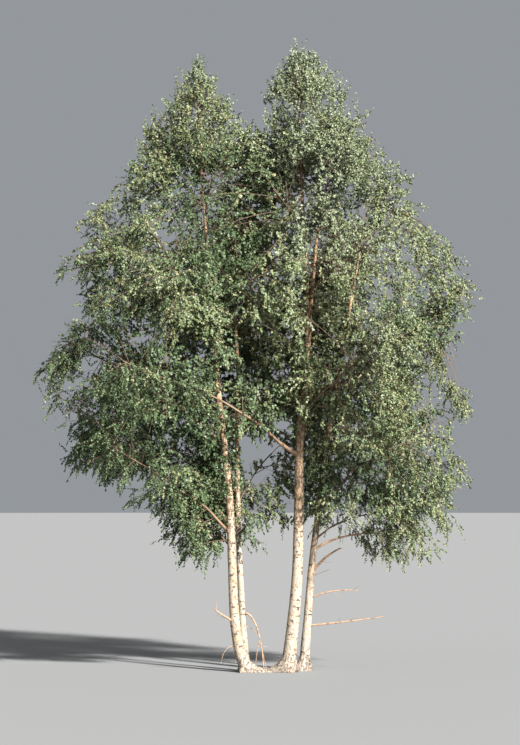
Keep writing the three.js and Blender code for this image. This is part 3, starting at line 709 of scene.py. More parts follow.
# Each stem's short branches, as (from, to, gap, longest, angle from upright)
STEM_BRANCHES = [
    ("main_stem", 8.4, 14.4, 0.22, 1.3, 56),
    ("right_rear_stem", 6.2, 11.5, 0.22, 1.3, 56),
    ("left_front_stem", 7.0, 13.8, 0.22, 1.3, 56),
    ("left_rear_stem", 6.6, 12.0, 0.22, 1.3, 56),
    ("right_leader", 9.3, 12.8, 0.22, 1.2, 52),
    ("main_stem", 6.0, 7.3, 0.1, 0.7, 45),
    ("right_rear_stem", 3.95, 9.0, 0.1, 0.7, 50),
    ("left_front_stem", 3.4, 6.0, 0.09, 0.65, 55),
    ("left_rear_stem", 3.6, 6.0, 0.12, 0.55, 50),
]
SHORT_LENGTHS = (0.6, 1.1)  # how far the short branches' lengths vary
SHORT_ROOM = 1.6
SHORT_SWAY = 12
SPREAD_SWAY = 0.12
SHOOT_REACH = 0.8
SHOOT_DROOP = 0.35
BOUGH_SLIMNESS = 0.75
BOUGH_BENDS = 0.035
BOUGH_BARE_SHARE = 0.22
BOUGH_BRANCH_GAP = 0.11
BOUGH_BRANCH_LENGTH = 0.9
BOUGH_BRANCH_ANGLE = math.radians(62)
TWIG_ANGLES = (32, 68)
TWIG_LENGTHS = (0.6, 1.05)
TWIG_SHARES = (0.12, 0.99)
TWIG_SWAY = 0.03
TWIG_TILT = 1.5
TWIG_TAPER = (1.15, 0.55)  # their reach at a branch's root, and how much of it is lost by its tip
TWIG_ROOM = 0.8
TWIG_LEAST = 0.1
TWIG_DROOP = 0.1
SPRAY_GAP = 0.1
SPRAY_LENGTHS = (0.55, 1.4)
SPRAY_HANGS = (0.85, 0.5, -0.9)  # at the foot of the crown, below its tops and in them
SPRAY_HANG_HEIGHTS = (4, 11.5, 14.6)
SPRAY_AHEAD = 0.5
SPRAY_SWAY = 0.42
SPRAY_CUTS = (3, 0.6)
TOP_SPRAYS = ((13.5, 15), (1, 1.25))  # how much longer the sprays of the tops are
TOP_RAGGEDNESS = ((12.5, 14.5), (1, 2.2))  # and how much more their reach varies
EDGE_DEPTH = 1.14
EDGE_SHARES = (0.86, 1.07)  # the crown's edge runs in and out between these
EDGE_SIZE = 0.36
EDGE_MARGIN = (0.05, 0.09)  # how far inside the edge the sprays end: usual and spread
EDGE_MARGINS = (-0.07, 0.28)
EDGE_LEAST_WIDTH = 0.02
TOP_SHOOTS = 0.22
DROOP_ROOM = 0.25  # sprays may hang this far below the crown's edge
TUFT_SIZE = 0.33
TUFT_GAP = -0.5  # nothing grows where the drift is lower, but above TUFT_TOP
TUFT_TOP = 13
TUFT_BRANCH_BEND = 0.28  # branches to the edge tufts start steep and flatten out
TUFT_STEM_SHARES = (0.5, 1)
TUFT_FILL = 0.6
EDGE_LIMIT = 3.55  # the crown is no deeper than this to the front or back
TOP_SLIMNESS = ((12.5, 14, 16), (1, 0.9, 0.86))
# Tufts that stand out of the edge, as (middle, half sizes, branches that run out into them). The
# last one hangs in front of the bough that crosses from the main stem.
EDGE_TUFTS = [
    ((-1.15, 0.12, 13.25), (0.85, 0.9, 0.95), 3),
    ((0.28, 0.06, 15.6), (0.2, 0.2, 0.3), 1),
    ((-0.1, 0.06, 14.7), (0.5, 0.5, 0.4), 4),
    ((-2.3, 0.06, 15.3), (0.18, 0.18, 0.35), 1),
    ((-3.35, 0.1, 13.95), (0.4, 0.5, 0.4), 3),
    ((-4.85, 0.1, 11.6), (0.5, 0.7, 0.35), 4),
    ((-5.3, 0.1, 10.3), (0.62, 0.8, 0.5), 5),
    ((-5.9, 0.1, 7.75), (0.58, 0.8, 0.5), 5),
    ((-5.7, 0.1, 6.7), (0.5, 0.8, 0.5), 4),
    ((-5.45, 0.1, 5.8), (0.75, 0.9, 0.55), 5),
    ((2.8, 0.1, 12.5), (0.45, 0.6, 0.25), 4),
    ((3.55, 0.1, 11.3), (0.4, 0.6, 0.3), 3),
    ((4.55, 0.1, 9.9), (0.38, 0.6, 0.35), 5),
    ((4.4, 0.1, 6.9), (0.4, 0.7, 0.35), 4),
    ((4.3, 0.1, 5.2), (0.4, 0.7, 0.35), 4),
    ((-3.3, -2.0, 7.35), (0.75, 0.35, 0.4), 4),
]
# Thin places in the front of the crown, as (middle, half sizes, share of the sprays kept, how
# much painted shade darkens the leaves round it)
HOLLOWS = [
    ((-1.4, -1.7, 11.8), (1.05, 2.1, 1.4), 0.2, 1.9),
    ((-1.2, -2.5, 9.6), (0.6, 1.4, 0.9), 0.2, 1.1),
    ((-4.3, -2.5, 8.2), (0.6, 1.3, 0.7), 0.2, 1.0),
    ((-5.2, -1.8, 6.4), (0.7, 1.0, 0.6), 0.3, 0.8),
    ((0.8, -1.8, 9.6), (0.5, 1.9, 2.1), 0.25, 0),
    ((1.4, -1.2, 10.5), (0.6, 1.0, 1.8), 0.18, 0),
    ((0.6, -1.9, 9.6), (0.27, 2.1, 2.4), 0.1, 0),
    ((1.3, -1.7, 6.9), (0.95, 1.4, 1.5), 0.2, 0),
    ((-1.6, -1.7, 6.2), (0.5, 1.8, 1.1), 0.35, 0),
    ((-0.9, -1.2, 7.2), (0.55, 1.0, 0.9), 0.2, 0),
]
# Gaps right through the crown, as ((x, height), half sizes)
SKY_GAPS = [
    ((-1.05, 5.7), (0.17, 0.36)),
    ((-5.85, 9.3), (0.5, 0.3)),
    ((4.7, 7.87), (0.4, 0.3)),
    ((4.6, 6.0), (0.45, 0.32)),
    ((4.6, 4.4), (0.35, 0.25)),
]
# Painted light makes the leaves lighter here, or painted shade darker below 0: ((x, height), half
# sizes, how much)
PAINTED_LIGHT_SPOTS = [
    ((0.6, 11.3), (1.41, 3.5), 1.4),
    ((-3.4, 5.6), (1.9, 1.9), -1.4),
    ((3.7, 8.8), (1.2, 2.2), -1.0),
    ((-2.4, 13.3), (0.9, 1.5), -0.5),
    ((2.6, 5.9), (1.5, 1.7), -0.5),
]
# Painted light: the leaves' colour gets lighter towards the right, as far as x 0, and higher up
PAINTED_LIGHT_SLOPES = (0.26, 0.14)  # how much lighter the leaves get to the right, as far as 0, and up
HOLLOW_SHADE = 2.2
# The depth share is painted shade: it darkens the leaves deep in the crown
TONES = (0.7, 0.6, 0.7, 1.3)  # of the drift its scale and share, of chance and of depth the share
DRIFT_WAVES = 6
DRIFT_HEIGHT = 2.5
STEEP = 0.8


def away_from(points, middle, half_sizes):
    """How far points are from a middle, squared, so that the surface of the ellipsoid is at 1."""
    return np.sum(((points - middle) / half_sizes) ** 2, axis=1)


def drift(points, scale, seed):
    """A slowly changing value over space, about -1 to 1."""
    rng = np.random.default_rng(seed)
    total = np.zeros(points.shape[:-1])
    for _ in range(DRIFT_WAVES):
        wave = rng.normal(size=3) / scale
        total += np.sin(points @ wave + rng.uniform(0, 2 * math.pi))
    return total / DRIFT_HEIGHT


def in_gap(points):
    """Whether points lie in a gap between the tufts, where nothing grows below the tops."""
    return (drift(points, TUFT_SIZE, 11) < TUFT_GAP) & (points[:, 2] < TUFT_TOP)


def in_sky_gap(points):
    gaps = [away_from(points[:, [0, 2]], *gap) <= 1 for gap in SKY_GAPS]
    return np.any(gaps, axis=0)


def stem_at(name, heights):
    """The middle line of a stem at many heights."""
    line = CROWN.limbs[name].points
    return between(heights, line[:, 2], line)


def near_stems(points):
    """Whether points are as close to a stem as the short shoots on it reach."""
    near = np.zeros(len(points), bool)
    for name, low, high, *_ in STEM_BRANCHES:
        apart = np.hypot(*(points - stem_at(name, points[:, 2]))[:, :2].T)
        beside = (points[:, 2] > low - SHOOT_DROOP) & (points[:, 2] < high)
        near |= beside & (apart < SHOOT_REACH)
    return near


def in_reach(points, shrink=0.0):
    """Whether shoots may reach points. The crown's edge runs in and out, as tufts and bays."""
    shares = np.interp(drift(points, EDGE_SIZE, 5), (-1, 1), EDGE_SHARES)
    shares *= np.interp(points[:, 2], *TOP_SLIMNESS)

    def half_sizes(half, spire):
        half = np.maximum(half * shares - shrink, EDGE_LEAST_WIDTH)
        return half, np.minimum(half * EDGE_DEPTH, EDGE_LIMIT)

    inside = near_stems(points) | in_spires(points, half_sizes, TOP_SHOOTS)
    for middle, tuft_sizes, _ in EDGE_TUFTS:
        inside |= away_from(points, middle, tuft_sizes) < 1
    return inside & ~in_sky_gap(points)


def reach_of(mass):
    """The test for points that a mass's branches may reach, a little beyond its own space."""
    return lambda points: mass.holds(points, BEYOND) & in_reach(points)


def branch_curves(roots, headings, lengths):
    """Branches arch up and out, and droop more the lower they grow. None ends in a gap."""
    droops = np.interp(roots[:, 2], *BRANCH_DROOPS)[:, None]

    def tips_of(reach):
        return roots + headings * reach - UP * droops * reach**BRANCH_DROOP_POWER

    reach = lengths[:, None]
    for _ in range(BRANCH_CUTS[0]):
        reach = np.where(in_reach(tips_of(reach))[:, None], reach, reach * BRANCH_CUTS[1])
    tips = tips_of(reach)
    keep = (reach[:, 0] > BRANCH_LENGTHS[0]) & in_reach(tips) & ~in_gap(tips)
    knees = (roots + tips) / 2 + UP * BRANCH_LIFT * reach
    return roots[keep], knees[keep], tips[keep]


def short_branches(roots, headings, longest, rng):
    wanted = longest * rng.uniform(*SHORT_LENGTHS, len(roots))
    lengths = np.minimum(rooms(in_reach, roots, headings, SHORT_ROOM) * BRANCH_REACH, wanted)
    return branch_curves(roots, headings, lengths)


def golden_turns(count, rng):
    return GOLDEN_ANGLE * np.arange(count) + rng.uniform(0, 2 * math.pi)


def grow_stem_branches(name, low, high, gap, longest, angle, rng):
    """Short branches fill the crown along a stem, turned by the golden angle."""
    heights = np.arange(low, high, gap)
    turns = golden_turns(len(heights), rng)
    angles = np.radians(angle + rng.uniform(-SHORT_SWAY, SHORT_SWAY, len(heights)))
    flat = np.sin(angles)
    headings = np.stack([flat * np.cos(turns), flat * np.sin(turns), np.cos(angles)], axis=-1)
    return short_branches(stem_at(name, heights), headings, longest, rng)


def grow_bough_branches(way, rng):
    """Slight branches leave the outer part of a bough to either side."""
    shares = np.arange(BOUGH_BARE_SHARE, 1, BOUGH_BRANCH_GAP / way.length())
    ahead = way.heading(shares)
    turns = golden_turns(len(shares), rng)
    spread = np.full(len(shares), BOUGH_BRANCH_ANGLE)
    headings = turned(turned(ahead, unit(np.cross(UP, ahead)), spread), ahead, turns)
    return short_branches(way.at(shares), headings, BOUGH_BRANCH_LENGTH, rng)


def grow_branches(mass, count, rng):
    """Branches leave the mass's stem at even steps, each turned by the golden angle."""
    i = np.arange(count)
    shares = BRANCH_SHARES[0] + (BRANCH_SHARES[1] - BRANCH_SHARES[0]) * i / count
    roots = mass.stem.at(shares)
    stems = mass.stem.heading(shares)
    across = unit(np.cross(SIDEWAYS, stems))
    low, high = np.radians(BRANCH_SPREADS)
    spread = high + (low - high) * shares + rng.uniform(-SPREAD_SWAY, SPREAD_SWAY, count)
    headings = turned(turned(stems, across, spread), stems, (i + mass.number) * GOLDEN_ANGLE)
    lengths = rooms(reach_of(mass), roots, headings, BRANCH_LENGTHS[1]) * BRANCH_REACH
    curves = branch_curves(roots, headings, lengths)
    if mass.apex is None:
        return curves
    end = mass.stem.at(1)
    leader = (end, (end + mass.apex) / 2, mass.apex)
    return [np.concatenate([rows, row[None]]) for rows, row in zip(curves, leader)]


def grow_tuft(mass, middle, half_sizes, count, rng):
    """Branches from a mass's stem run out into a tuft that stands out of the crown's edge."""
    roots = mass.stem.at(rng.uniform(*TUFT_STEM_SHARES, count))
    tips = middle + half_sizes * rng.uniform(-TUFT_FILL, TUFT_FILL, (count, 3))
    lift = BRANCH_LIFT * np.linalg.norm(tips - roots, axis=1, keepdims=True)
    inwards = TUFT_BRANCH_BEND * (roots - tips) * (1, 1, 0)
    return roots, (roots + tips) / 2 + UP * lift + inwards, tips


def stations(counts):
    """Even steps along many curves: the curve, the step and the share of the way of each."""
    owner = np.repeat(np.arange(len(counts)), counts)
    order = np.concatenate([np.arange(n) for n in counts])
    return owner, order, (order + 1.0) / counts[owner]


def starts_on(curves, owner, share):
    return bent(*(rows[owner] for rows in curves), share[:, None])[:, 0]


def grow_side_twigs(inside, branches, gap, longest, rng):
    """Side twigs leave a branch to either side in turn."""
    roots, _, tips = branches
    lengths = np.linalg.norm(tips - roots, axis=1)
    owner, order, share = stations(np.maximum(2, (lengths / gap).astype(int)))
    share = np.clip(share + rng.uniform(-TWIG_SWAY, TWIG_SWAY, len(share)), *TWIG_SHARES)
    starts = starts_on(branches, owner, share)
    ahead = unit(tips - roots)[owner]
    normals = unit(UP + TWIG_TILT * rng.normal(size=(len(owner), 3)))
    normals = unit(normals - ahead * np.sum(normals * ahead, axis=1, keepdims=True))
    angles = np.radians(rng.uniform(*TWIG_ANGLES, len(owner))) * np.where(order % 2, 1, -1)
    headings = turned(ahead, normals, angles)
    taper = TWIG_TAPER[0] - TWIG_TAPER[1] * share
    reach = longest * rng.uniform(*TWIG_LENGTHS, len(owner)) * taper
    reach = np.minimum(reach, rooms(inside, starts, headings, TWIG_ROOM))
    keep = (reach > TWIG_LEAST) & ~in_gap(starts + headings * reach[:, None])
    starts, headings, reach = starts[keep], headings[keep], reach[keep][:, None]
    ends = starts + headings * reach - UP * TWIG_DROOP * reach
    return starts, (starts + ends) / 2 + UP * TWIG_DROOP / 2 * reach, ends


def grow_sprays(curves, gap, usual, rng):
    """Sprays hang from a twig at even steps and go on from its end."""
    roots, _, tips = curves
    lengths = np.linalg.norm(tips - roots, axis=1)
    owner, _, share = stations(np.maximum(1, np.round(lengths / gap).astype(int)))
    starts = starts_on(curves, owner, share)
    ahead = unit(tips - roots)[owner]
    sway = rng.normal(size=(len(owner), 3))
    hang = np.interp(starts[:, 2], SPRAY_HANG_HEIGHTS, SPRAY_HANGS)[:, None]
    headings = unit(SPRAY_AHEAD * ahead + SPRAY_SWAY * sway - hang * UP)
    usual = usual * np.interp(starts[:, 2:], *TOP_SPRAYS)
    ends = starts + headings * usual * rng.uniform(*SPRAY_LENGTHS, len(owner))[:, None]
    margins = np.clip(rng.normal(*EDGE_MARGIN, len(owner)), *EDGE_MARGINS)
    margins = margins * np.interp(starts[:, 2], *TOP_RAGGEDNESS)
    ease = DROOP_ROOM * UP * (starts[:, 2:] < SPRAY_HANG_HEIGHTS[1])
    for _ in range(SPRAY_CUTS[0]):
        inside = in_reach((starts + ends) / 2 + ease, margins)[:, None]
        ends = np.where(inside, ends, starts + (ends - starts) * SPRAY_CUTS[1])
    keep = in_reach((starts + ends) / 2 + ease, margins) & ~in_gap(ends) & ~in_sky_gap(ends)
    for middle, half_sizes, kept, _ in HOLLOWS:
        outside = away_from(ends, middle, half_sizes) > 1
        keep &= outside | (rng.random(len(ends)) < kept)
    return starts[keep], (starts[keep] + ends[keep]) / 2, ends[keep]


def plan_branches(sizes, rng):
    """All branches, as (side of the crown, test for what their twigs may reach, curves)."""
    usual = np.sqrt(CROWN.weights).mean()
    for mass in CROWN.masses:
        lush = LUSHNESS if mass.apex is not None or mass.centre[2] < LOW_HEIGHT else 1
        lush *= MIDDLE_LUSHNESS if mass.side == "middle" else 1
        count = round(sizes.branches * lush * math.sqrt(mass.weight) / usual)
        yield mass.side, reach_of(mass), grow_branches(mass, count, rng)
    for mass in CROWN.masses:
        if mass.bough:
            yield mass.side, in_reach, grow_bough_branches(CROWN.limbs[mass.bough].way, rng)
    for middle, half_sizes, count in EDGE_TUFTS:
        mass = min(CROWN.masses, key=lambda mass: np.linalg.norm(mass.centre - middle))
        tuft = grow_tuft(mass, np.array(middle), np.array(half_sizes), count, rng)
        yield mass.side, in_reach, tuft
    for name, *growth in STEM_BRANCHES:
        side = next(side for side, spire in SPIRES.items() if name in spire["hosts"])
        yield side, in_reach, grow_stem_branches(name, *growth, rng)


def grown(sizes):
    """All branches, side twigs and sprays, by the side of the crown that they belong to."""
    rng = np.random.default_rng(sizes.seed)
    sides = {side: {"branches": [], "twigs": [], "sprays": []} for side in SPIRES}
    for side, inside, branches in list(plan_branches(sizes, rng)):
        twigs = grow_side_twigs(inside, branches, sizes.twig_gap, sizes.twig_length, rng)
        sides[side]["branches"].append(branches)
        sides[side]["twigs"].append(twigs)
        for curves, gap in ((twigs, SPRAY_GAP), (branches, 2 * SPRAY_GAP)):
            sides[side]["sprays"].append(grow_sprays(curves, gap, sizes.spray_length, rng))
    return {
        side: {kind: [np.concatenate(rows) for rows in zip(*sets)] for kind, sets in kinds.items()}
        for side, kinds in sides.items()
    }


def circle(side, other, count):
    """Corners round many points, each in the plane of its two unit vectors."""
    angles = (2 * math.pi * np.arange(count) / count)[:, None]
    return np.cos(angles) * side[..., None, :] + np.sin(angles) * other[..., None, :]


def tubes(curves, rings, radii, sides):
    """Corners and faces of closed tapering tubes along many curves."""
    shares = np.linspace(0, 1, rings)
    points = bent(*curves, shares)
    ahead = unit(np.gradient(points, axis=1))
    steep = np.abs(ahead[:, :1, 2:]) > STEEP
    side = unit(np.cross(ahead, np.where(steep, SIDEWAYS, UP)))
    thickness = (radii[0] + (radii[1] - radii[0]) * shares)[None, :, None, None]
    corners = points[:, :, None] + thickness * circle(side, np.cross(ahead, side), sides)
    first = np.arange(len(points))[:, None, None] * rings * sides
    first = first + np.arange(rings)[:, None] * sides
    low = first[:, :-1] + np.arange(sides)
    nearby = first[:, :-1] + (np.arange(sides) + 1) % sides
    walls = np.stack([low, nearby, nearby + sides, low + sides], axis=-1).reshape(-1, 4)
    caps = np.concatenate([low[:, 0, ::-1], low[:, -1] + sides])
    return corners.reshape(-1, 3), [walls, caps]


def cones(curves, radius):
    """Corners and faces of thin three-sided cones, one from each root to its tip."""
    roots, _, tips = curves
    ahead = unit(tips - roots)
    side = unit(np.cross(ahead, UP + 1e-3))
    ring = roots[:, None] + radius * circle(side, np.cross(ahead, side), 3)
    corners = np.concatenate([ring, tips[:, None]], axis=1)
    first = 4 * np.arange(len(roots))[:, None, None]
    faces = first + np.array([(0, 1, 3), (1, 2, 3), (2, 0, 3), (2, 1, 0)])
    return corners.reshape(-1, 3), [faces.reshape(-1, 3)]


def object_from_arrays(name, parts):
    """One object from several sets of corners and faces."""
    corners, loops, sizes, offset = [], [], [], 0
    for points, faces in parts:
        corners.append(points)
        for face in faces:
            loops.append((face + offset).ravel())
            sizes.append(np.full(len(face), face.shape[1]))
        offset += len(points)
    corners, loops, sizes = map(np.concatenate, (corners, loops, sizes))
    mesh = bpy.data.meshes.new(name)
    for rows, count in ((mesh.vertices, corners), (mesh.loops, loops), (mesh.polygons, sizes)):
        rows.add(len(count))
    mesh.vertices.foreach_set("co", corners.astype(np.float32).ravel())
    mesh.loops.foreach_set("vertex_index", loops.astype(np.int32))
    mesh.polygons.foreach_set("loop_start", (np.cumsum(sizes) - sizes).astype(np.int32))
    mesh.update(calc_edges=True)
    made = bpy.data.objects.new(name, mesh)
    bpy.context.collection.objects.link(made)
    return made


def leaf_places(sprays, count, rng):
    """Where the leaves sit, which way they point, and how far along their sprays they are."""
    roots, _, tips = sprays
    first, off = LEAF_STARTS
    shares = np.linspace(first, 1, count) + rng.uniform(-off, off, (len(roots), count))
    points = bent(*sprays, np.clip(shares, 0, 1))
    ahead = unit(tips - roots)[:, None]
    side = unit(np.cross(ahead, UP) + 1e-6)
    turns = np.where(np.arange(count) % 2, 1.0, -1.0)[None, :, None]
    aside, on, down, astray = LEAF_HEADING
    sway = astray * rng.normal(size=points.shape)
    headings = unit(aside * side * turns + on * ahead - down * UP + sway)
    return points, headings, shares


def outwards(points):
    """Away from the crown's upright middle line at each height."""
    heights, lefts, _ = np.array(SPIRES["left"]["outline"]).T
    rights = np.interp(points[..., 2], *np.array(SPIRES["right"]["outline"]).T[[0, 2]])
    middle = (np.interp(points[..., 2], heights, lefts) + rights) / 2
    depth = np.full_like(middle, CROWN_MIDDLE[1])
    return unit(points - np.stack([middle, depth, points[..., 2]], axis=-1) + 1e-6)


def leaf_corners(points, headings, lengths, width, rng):
    """Corners of the leaves: each a folded outline with its face turned up and outwards."""
    out, up, astray = LEAF_FACING
    facing = out * outwards(points) + up * UP + astray * rng.normal(size=points.shape)
    normal = unit(facing - headings * np.sum(facing * headings, axis=-1, keepdims=True))
    side = np.cross(headings, normal)
    across, along, lift = (LEAF_OUTLINE[:, k][None, :, None] for k in range(3))
    side, headings, normal = (axes.reshape(-1, 1, 3) for axes in (side, headings, normal))
    shape = across * width * side + along * headings + lift * normal
    return points.reshape(-1, 1, 3) + lengths.reshape(-1, 1, 1) * shape


def leaf_tones(sprays, inner, rng):
    """How light the leaves of each spray are, against the others, by chance and by painted light
    and shade.
    """
    x, _, z = sprays[2].T
    # Painted light to the right, up high and in the light spots, and painted shade in the dark
    # spots
    painted_light = PAINTED_LIGHT_SLOPES[0] * np.minimum(x, 0) + PAINTED_LIGHT_SLOPES[1] * z
    for middle, half_sizes, lighter in PAINTED_LIGHT_SPOTS:
        painted_light += lighter * np.exp(-away_from(sprays[2][:, [0, 2]], middle, half_sizes))
    # Painted shade: the leaves round each hollow are darker
    for middle, half_sizes, _, darker in HOLLOWS:
        away = away_from(sprays[2], middle, half_sizes)
        painted_light -= darker * np.clip(HOLLOW_SHADE - away, 0, 1)
    size, slow, chance, depth = TONES
    tone = drift(sprays[0], size, 3) * slow + rng.normal(size=len(inner)) * chance
    # Leaves deep in the crown get painted shade
    return tone - inner * depth + painted_light


# Materials
class Value:
    """A socket of a material, so that shader maths reads as an expression."""

    def __init__(self, paint, socket):
        self.paint = paint
        self.socket = socket

    def __add__(self, other):
        return self.paint.math("ADD", self, other)

    __radd__ = __add__

    def __sub__(self, other):
        return self.paint.math("SUBTRACT", self, other)

    def __rsub__(self, other):
        return self.paint.math("SUBTRACT", other, self)

    def __mul__(self, other):
        return self.paint.math("MULTIPLY", self, other)

    __rmul__ = __mul__


class Paint:
    """One material and the nodes that make its surface."""

    def __init__(self, name, colour, roughness, specular=0.3):
        self.material = bpy.data.materials.new(name)
        self.material.use_nodes = True
        self.nodes = self.material.node_tree.nodes
        self.links = self.material.node_tree.links
        self.surface = self.nodes["Principled BSDF"]
        self.set("Base Color", colour)
        self.set("Roughness", roughness)
        self.set("Specular IOR Level", specular)

    def set(self, name, value):
        self.feed(self.surface.inputs[name], value)

    def feed(self, socket, value):
        if isinstance(value, Value):
            self.links.new(value.socket, socket)
        else:
            socket.default_value = (*value, 1) if socket.type == "RGBA" else value

    def node(self, kind, settings, inputs, output=0):
        made = self.nodes.new(kind)
        for name, value in settings.items():
            setattr(made, name, value)
        for name, value in inputs.items():
            self.feed(made.inputs[name], value)
        return Value(self, made.outputs[output])

    def math(self, operation, first, second):
        return self.node("ShaderNodeMath", {"operation": operation}, {0: first, 1: second})

    def place(self, scale=(1, 1, 1)):
        where = self.node("ShaderNodeTexCoord", {}, {}, "Object")
        return self.node("ShaderNodeMapping", {}, {"Vector": where, "Scale": scale})

    def noise(self, scale, detail, roughness=0.55):
        inputs = {"Scale": 1, "Detail": detail, "Roughness": roughness}
        return self.node("ShaderNodeTexNoise", {}, {"Vector": self.place(scale), **inputs})

    def height(self):
        return self.node("ShaderNodeSeparateXYZ", {}, {"Vector": self.place()}, "Z")

    def step(self, value, low, high):
        inputs = {"Value": value, "From Min": low, "From Max": high}
        return self.node("ShaderNodeMapRange", {"interpolation_type": "SMOOTHSTEP"}, inputs)

    def mix(self, share, first, second):
        inputs = {0: share, 6: first, 7: second}
        return self.node("ShaderNodeMix", {"data_type": "RGBA"}, inputs, 2)

    def bump(self, height, distance):
        inputs = {"Height": height, "Distance": distance, "Strength": 0.8}
        self.set("Normal", self.node("ShaderNodeBump", {}, inputs))


def birch_bark(colours):
    """Pale bark with fine bands and dark scars across it, and brown mottling with more of it
    higher up as painted dappled shade.
    """
    paint = Paint("birch bark", colours.bark, 0.6)
    height = paint.height()
    foot = paint.step(height, 1.1, 0)
    upper = paint.step(height, 3.5, 10)
    bands = paint.noise((5, 5, 85), 3, 0.5)
    patches = paint.noise((3.5, 3.5, 4), 4)
    blush = paint.noise((1.6, 1.6, 1.1), 3)
    plates = paint.noise((26, 26, 9), 6, 0.62)
    scars = paint.noise((6, 6, 13), 3, 0.55)
    blotches = paint.noise((20, 20, 10), 4, 0.6)
    dashes = paint.step(bands, 0.58, 0.66) * paint.step(patches, 0.4, 0.6)
    cracks = paint.step(plates + foot * 0.12, 0.58, 0.66) * paint.step(height, 2.4, 0.3)
    slashes = paint.math("MAXIMUM", cracks * 0.75, paint.step(scars, 0.6, 0.64))
    marks = paint.math("MAXIMUM", dashes * 0.45, slashes)
    # Brown blotches: the bark's own mottling, with more of it from 2.2 m to 4.4 m up as painted
    # dappled shade
    blotch_and_shade = paint.step(blotches + paint.step(height, 2.2, 4.4) * 0.1, 0.575, 0.62)
    tinge = paint.step(patches, 0.42, 0.72) * 0.6 + paint.step(blush, 0.45, 0.65) * 0.35
    tinge = tinge + paint.step(height, 2.6, 5.2) * 0.45
    clean = paint.mix(tinge, colours.bark, colours.bark_warm)
    rough = paint.mix(foot * 0.8, clean, colours.bark_foot)
    aged = paint.mix(upper, rough, colours.bark_upper)
    blotched_and_shaded = paint.mix(blotch_and_shade * 0.85, aged, colours.bark_blotch_and_shade)
    paint.set("Base Color", paint.mix(marks * (1 - upper * 0.4), blotched_and_shaded, colours.bark_marks))
    paint.set("Roughness", 0.55 + marks * 0.3)
    paint.bump(bands * 0.2 + plates * (0.15 + foot) - marks * 0.5, 0.012)
    return paint.material


def smooth_bark(name, colour, colours):
    """Smooth young bark with pale pores across it."""
    paint = Paint(name, colour, 0.6)
    pores = paint.step(paint.noise((22, 22, 60), 3), 0.6, 0.68)
    cloud = paint.step(paint.noise((3, 3, 3), 4), 0.35, 0.7)
    dull = tuple(0.55 * c for c in colour)
    base = paint.mix(cloud, colour, dull)
    paint.set("Base Color", paint.mix(pores * 0.5, base, colours.bark_warm))
    paint.set("Roughness", 0.5 + pores * 0.25)
    paint.bump(pores + cloud * 0.3, 0.003)
    return paint.material


def weathered_wood(colours):
    """Grey-brown wood whose grain runs along the limb, with bark left in flakes."""
    paint = Paint("dead wood", colours.dead_wood, 0.8, 0.2)
    grain = paint.noise((6, 60, 60), 4)
    flakes = paint.step(paint.noise((9, 14, 14), 5, 0.6), 0.52, 0.6)
    pale = tuple(min(1, 1.45 * c) for c in colours.dead_wood)
    wood = paint.mix(paint.step(grain, 0.35, 0.65), colours.dead_wood, pale)
    paint.set("Base Color", paint.mix(flakes * 0.75, wood, colours.branch))
    paint.set("Roughness", 0.7 + flakes * 0.2)
    paint.bump(grain * 0.4 + flakes, 0.004)
    return paint.material


# Modelling
def select_only(*things):
    for thing in bpy.context.selected_objects:
        thing.select_set(False)
    for thing in things:
        thing.select_set(True)
    if things:
        bpy.context.view_layer.objects.active = things[0]


def pick_corners(limb, wanted):
    """Selects the corners of a limb in edit mode whose place passes the test."""
    shape = bmesh.from_edit_mesh(limb.data)
    for corner in shape.verts:
        corner.select_set(bool(wanted(corner.co)))
    shape.select_flush(True)
    bmesh.update_edit_mesh(limb.data)


def apply_modifier(limb, kind, **settings):
    modifier = limb.modifiers.new(kind.title(), kind)
    for name, value in settings.items():
        setattr(modifier, name, value)
    bpy.ops.object.modifier_apply(modifier=modifier.name)


def extruded(name, rings, sides):
    """An upright limb drawn up from a disc, ring by ring, and left in edit mode."""
    select_only()
    centre, radius = rings[0]
    disc = {"vertices": sides, "radius": radius, "fill_type": "NGON", "location": centre}
    bpy.ops.mesh.primitive_circle_add(**disc)
    limb = bpy.context.object
    limb.name = limb.data.name = name
    bpy.ops.object.transform_apply()
    bpy.ops.object.mode_set(mode="EDIT")
    bpy.ops.mesh.select_all(action="SELECT")
    for (low, low_radius), (high, high_radius) in zip(rings, rings[1:]):
        bpy.ops.mesh.extrude_region_move(TRANSFORM_OT_translate={"value": high - low})
        ratio = high_radius / low_radius
        bpy.ops.transform.resize(value=(ratio, ratio, 1), center_override=high)
    bpy.ops.mesh.select_all(action="SELECT")
    bpy.ops.mesh.normals_make_consistent(inside=False)
    return limb


def pull_roots(limb, stem):
    """Draws the root ridges out of the foot with a soft pull at ground level."""
    x, y, _ = axis_point(stem["course"], 0)
    radius = stem_radius(stem, 0)
    for degrees, reach in stem["roots"]:
        out = np.array([math.cos(math.radians(degrees)), math.sin(math.radians(degrees)), 0])
        spot = np.array([x, y, 0]) + out * radius
        corners = [c.co for c in bmesh.from_edit_mesh(limb.data).verts if c.co.z < GROUND]
        nearest = min(corners, key=lambda co: math.hypot(co.x - spot[0], co.y - spot[1])).copy()
        pick_corners(limb, lambda co, target=nearest: (co - target).length < SAME_PLACE)
        bpy.ops.transform.translate(
            value=out * reach,
            use_proportional_edit=True,
            proportional_edit_falloff="SHARP",
            proportional_size=ROOT_PULL,
        )


def weigh_foot(limb):
    """Vertex groups for the rough bark, which fades out up the foot, and for the fine."""
    foot, above = (limb.vertex_groups.new(name=name) for name in ("foot", "above"))
    for corner in limb.data.vertices:
        z = corner.co.z
        rough = math.exp(-z / FOOT_FADE) * min(1, z / FOOT_START)
        foot.add([corner.index], rough, "REPLACE")
        above.add([corner.index], min(1, z / ABOVE_START), "REPLACE")


def relief_texture(name):
    texture = bpy.data.textures.new(name, "CLOUDS")
    texture.noise_scale, texture.noise_depth = RELIEFS[name]
    return texture


def finish_piece(piece, material, nodes, smooth=True):
    piece.data.materials.append(material)
    select_only(piece)
    if smooth:
        bpy.ops.object.shade_smooth()
    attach(piece, "root")
    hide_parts(*nodes)


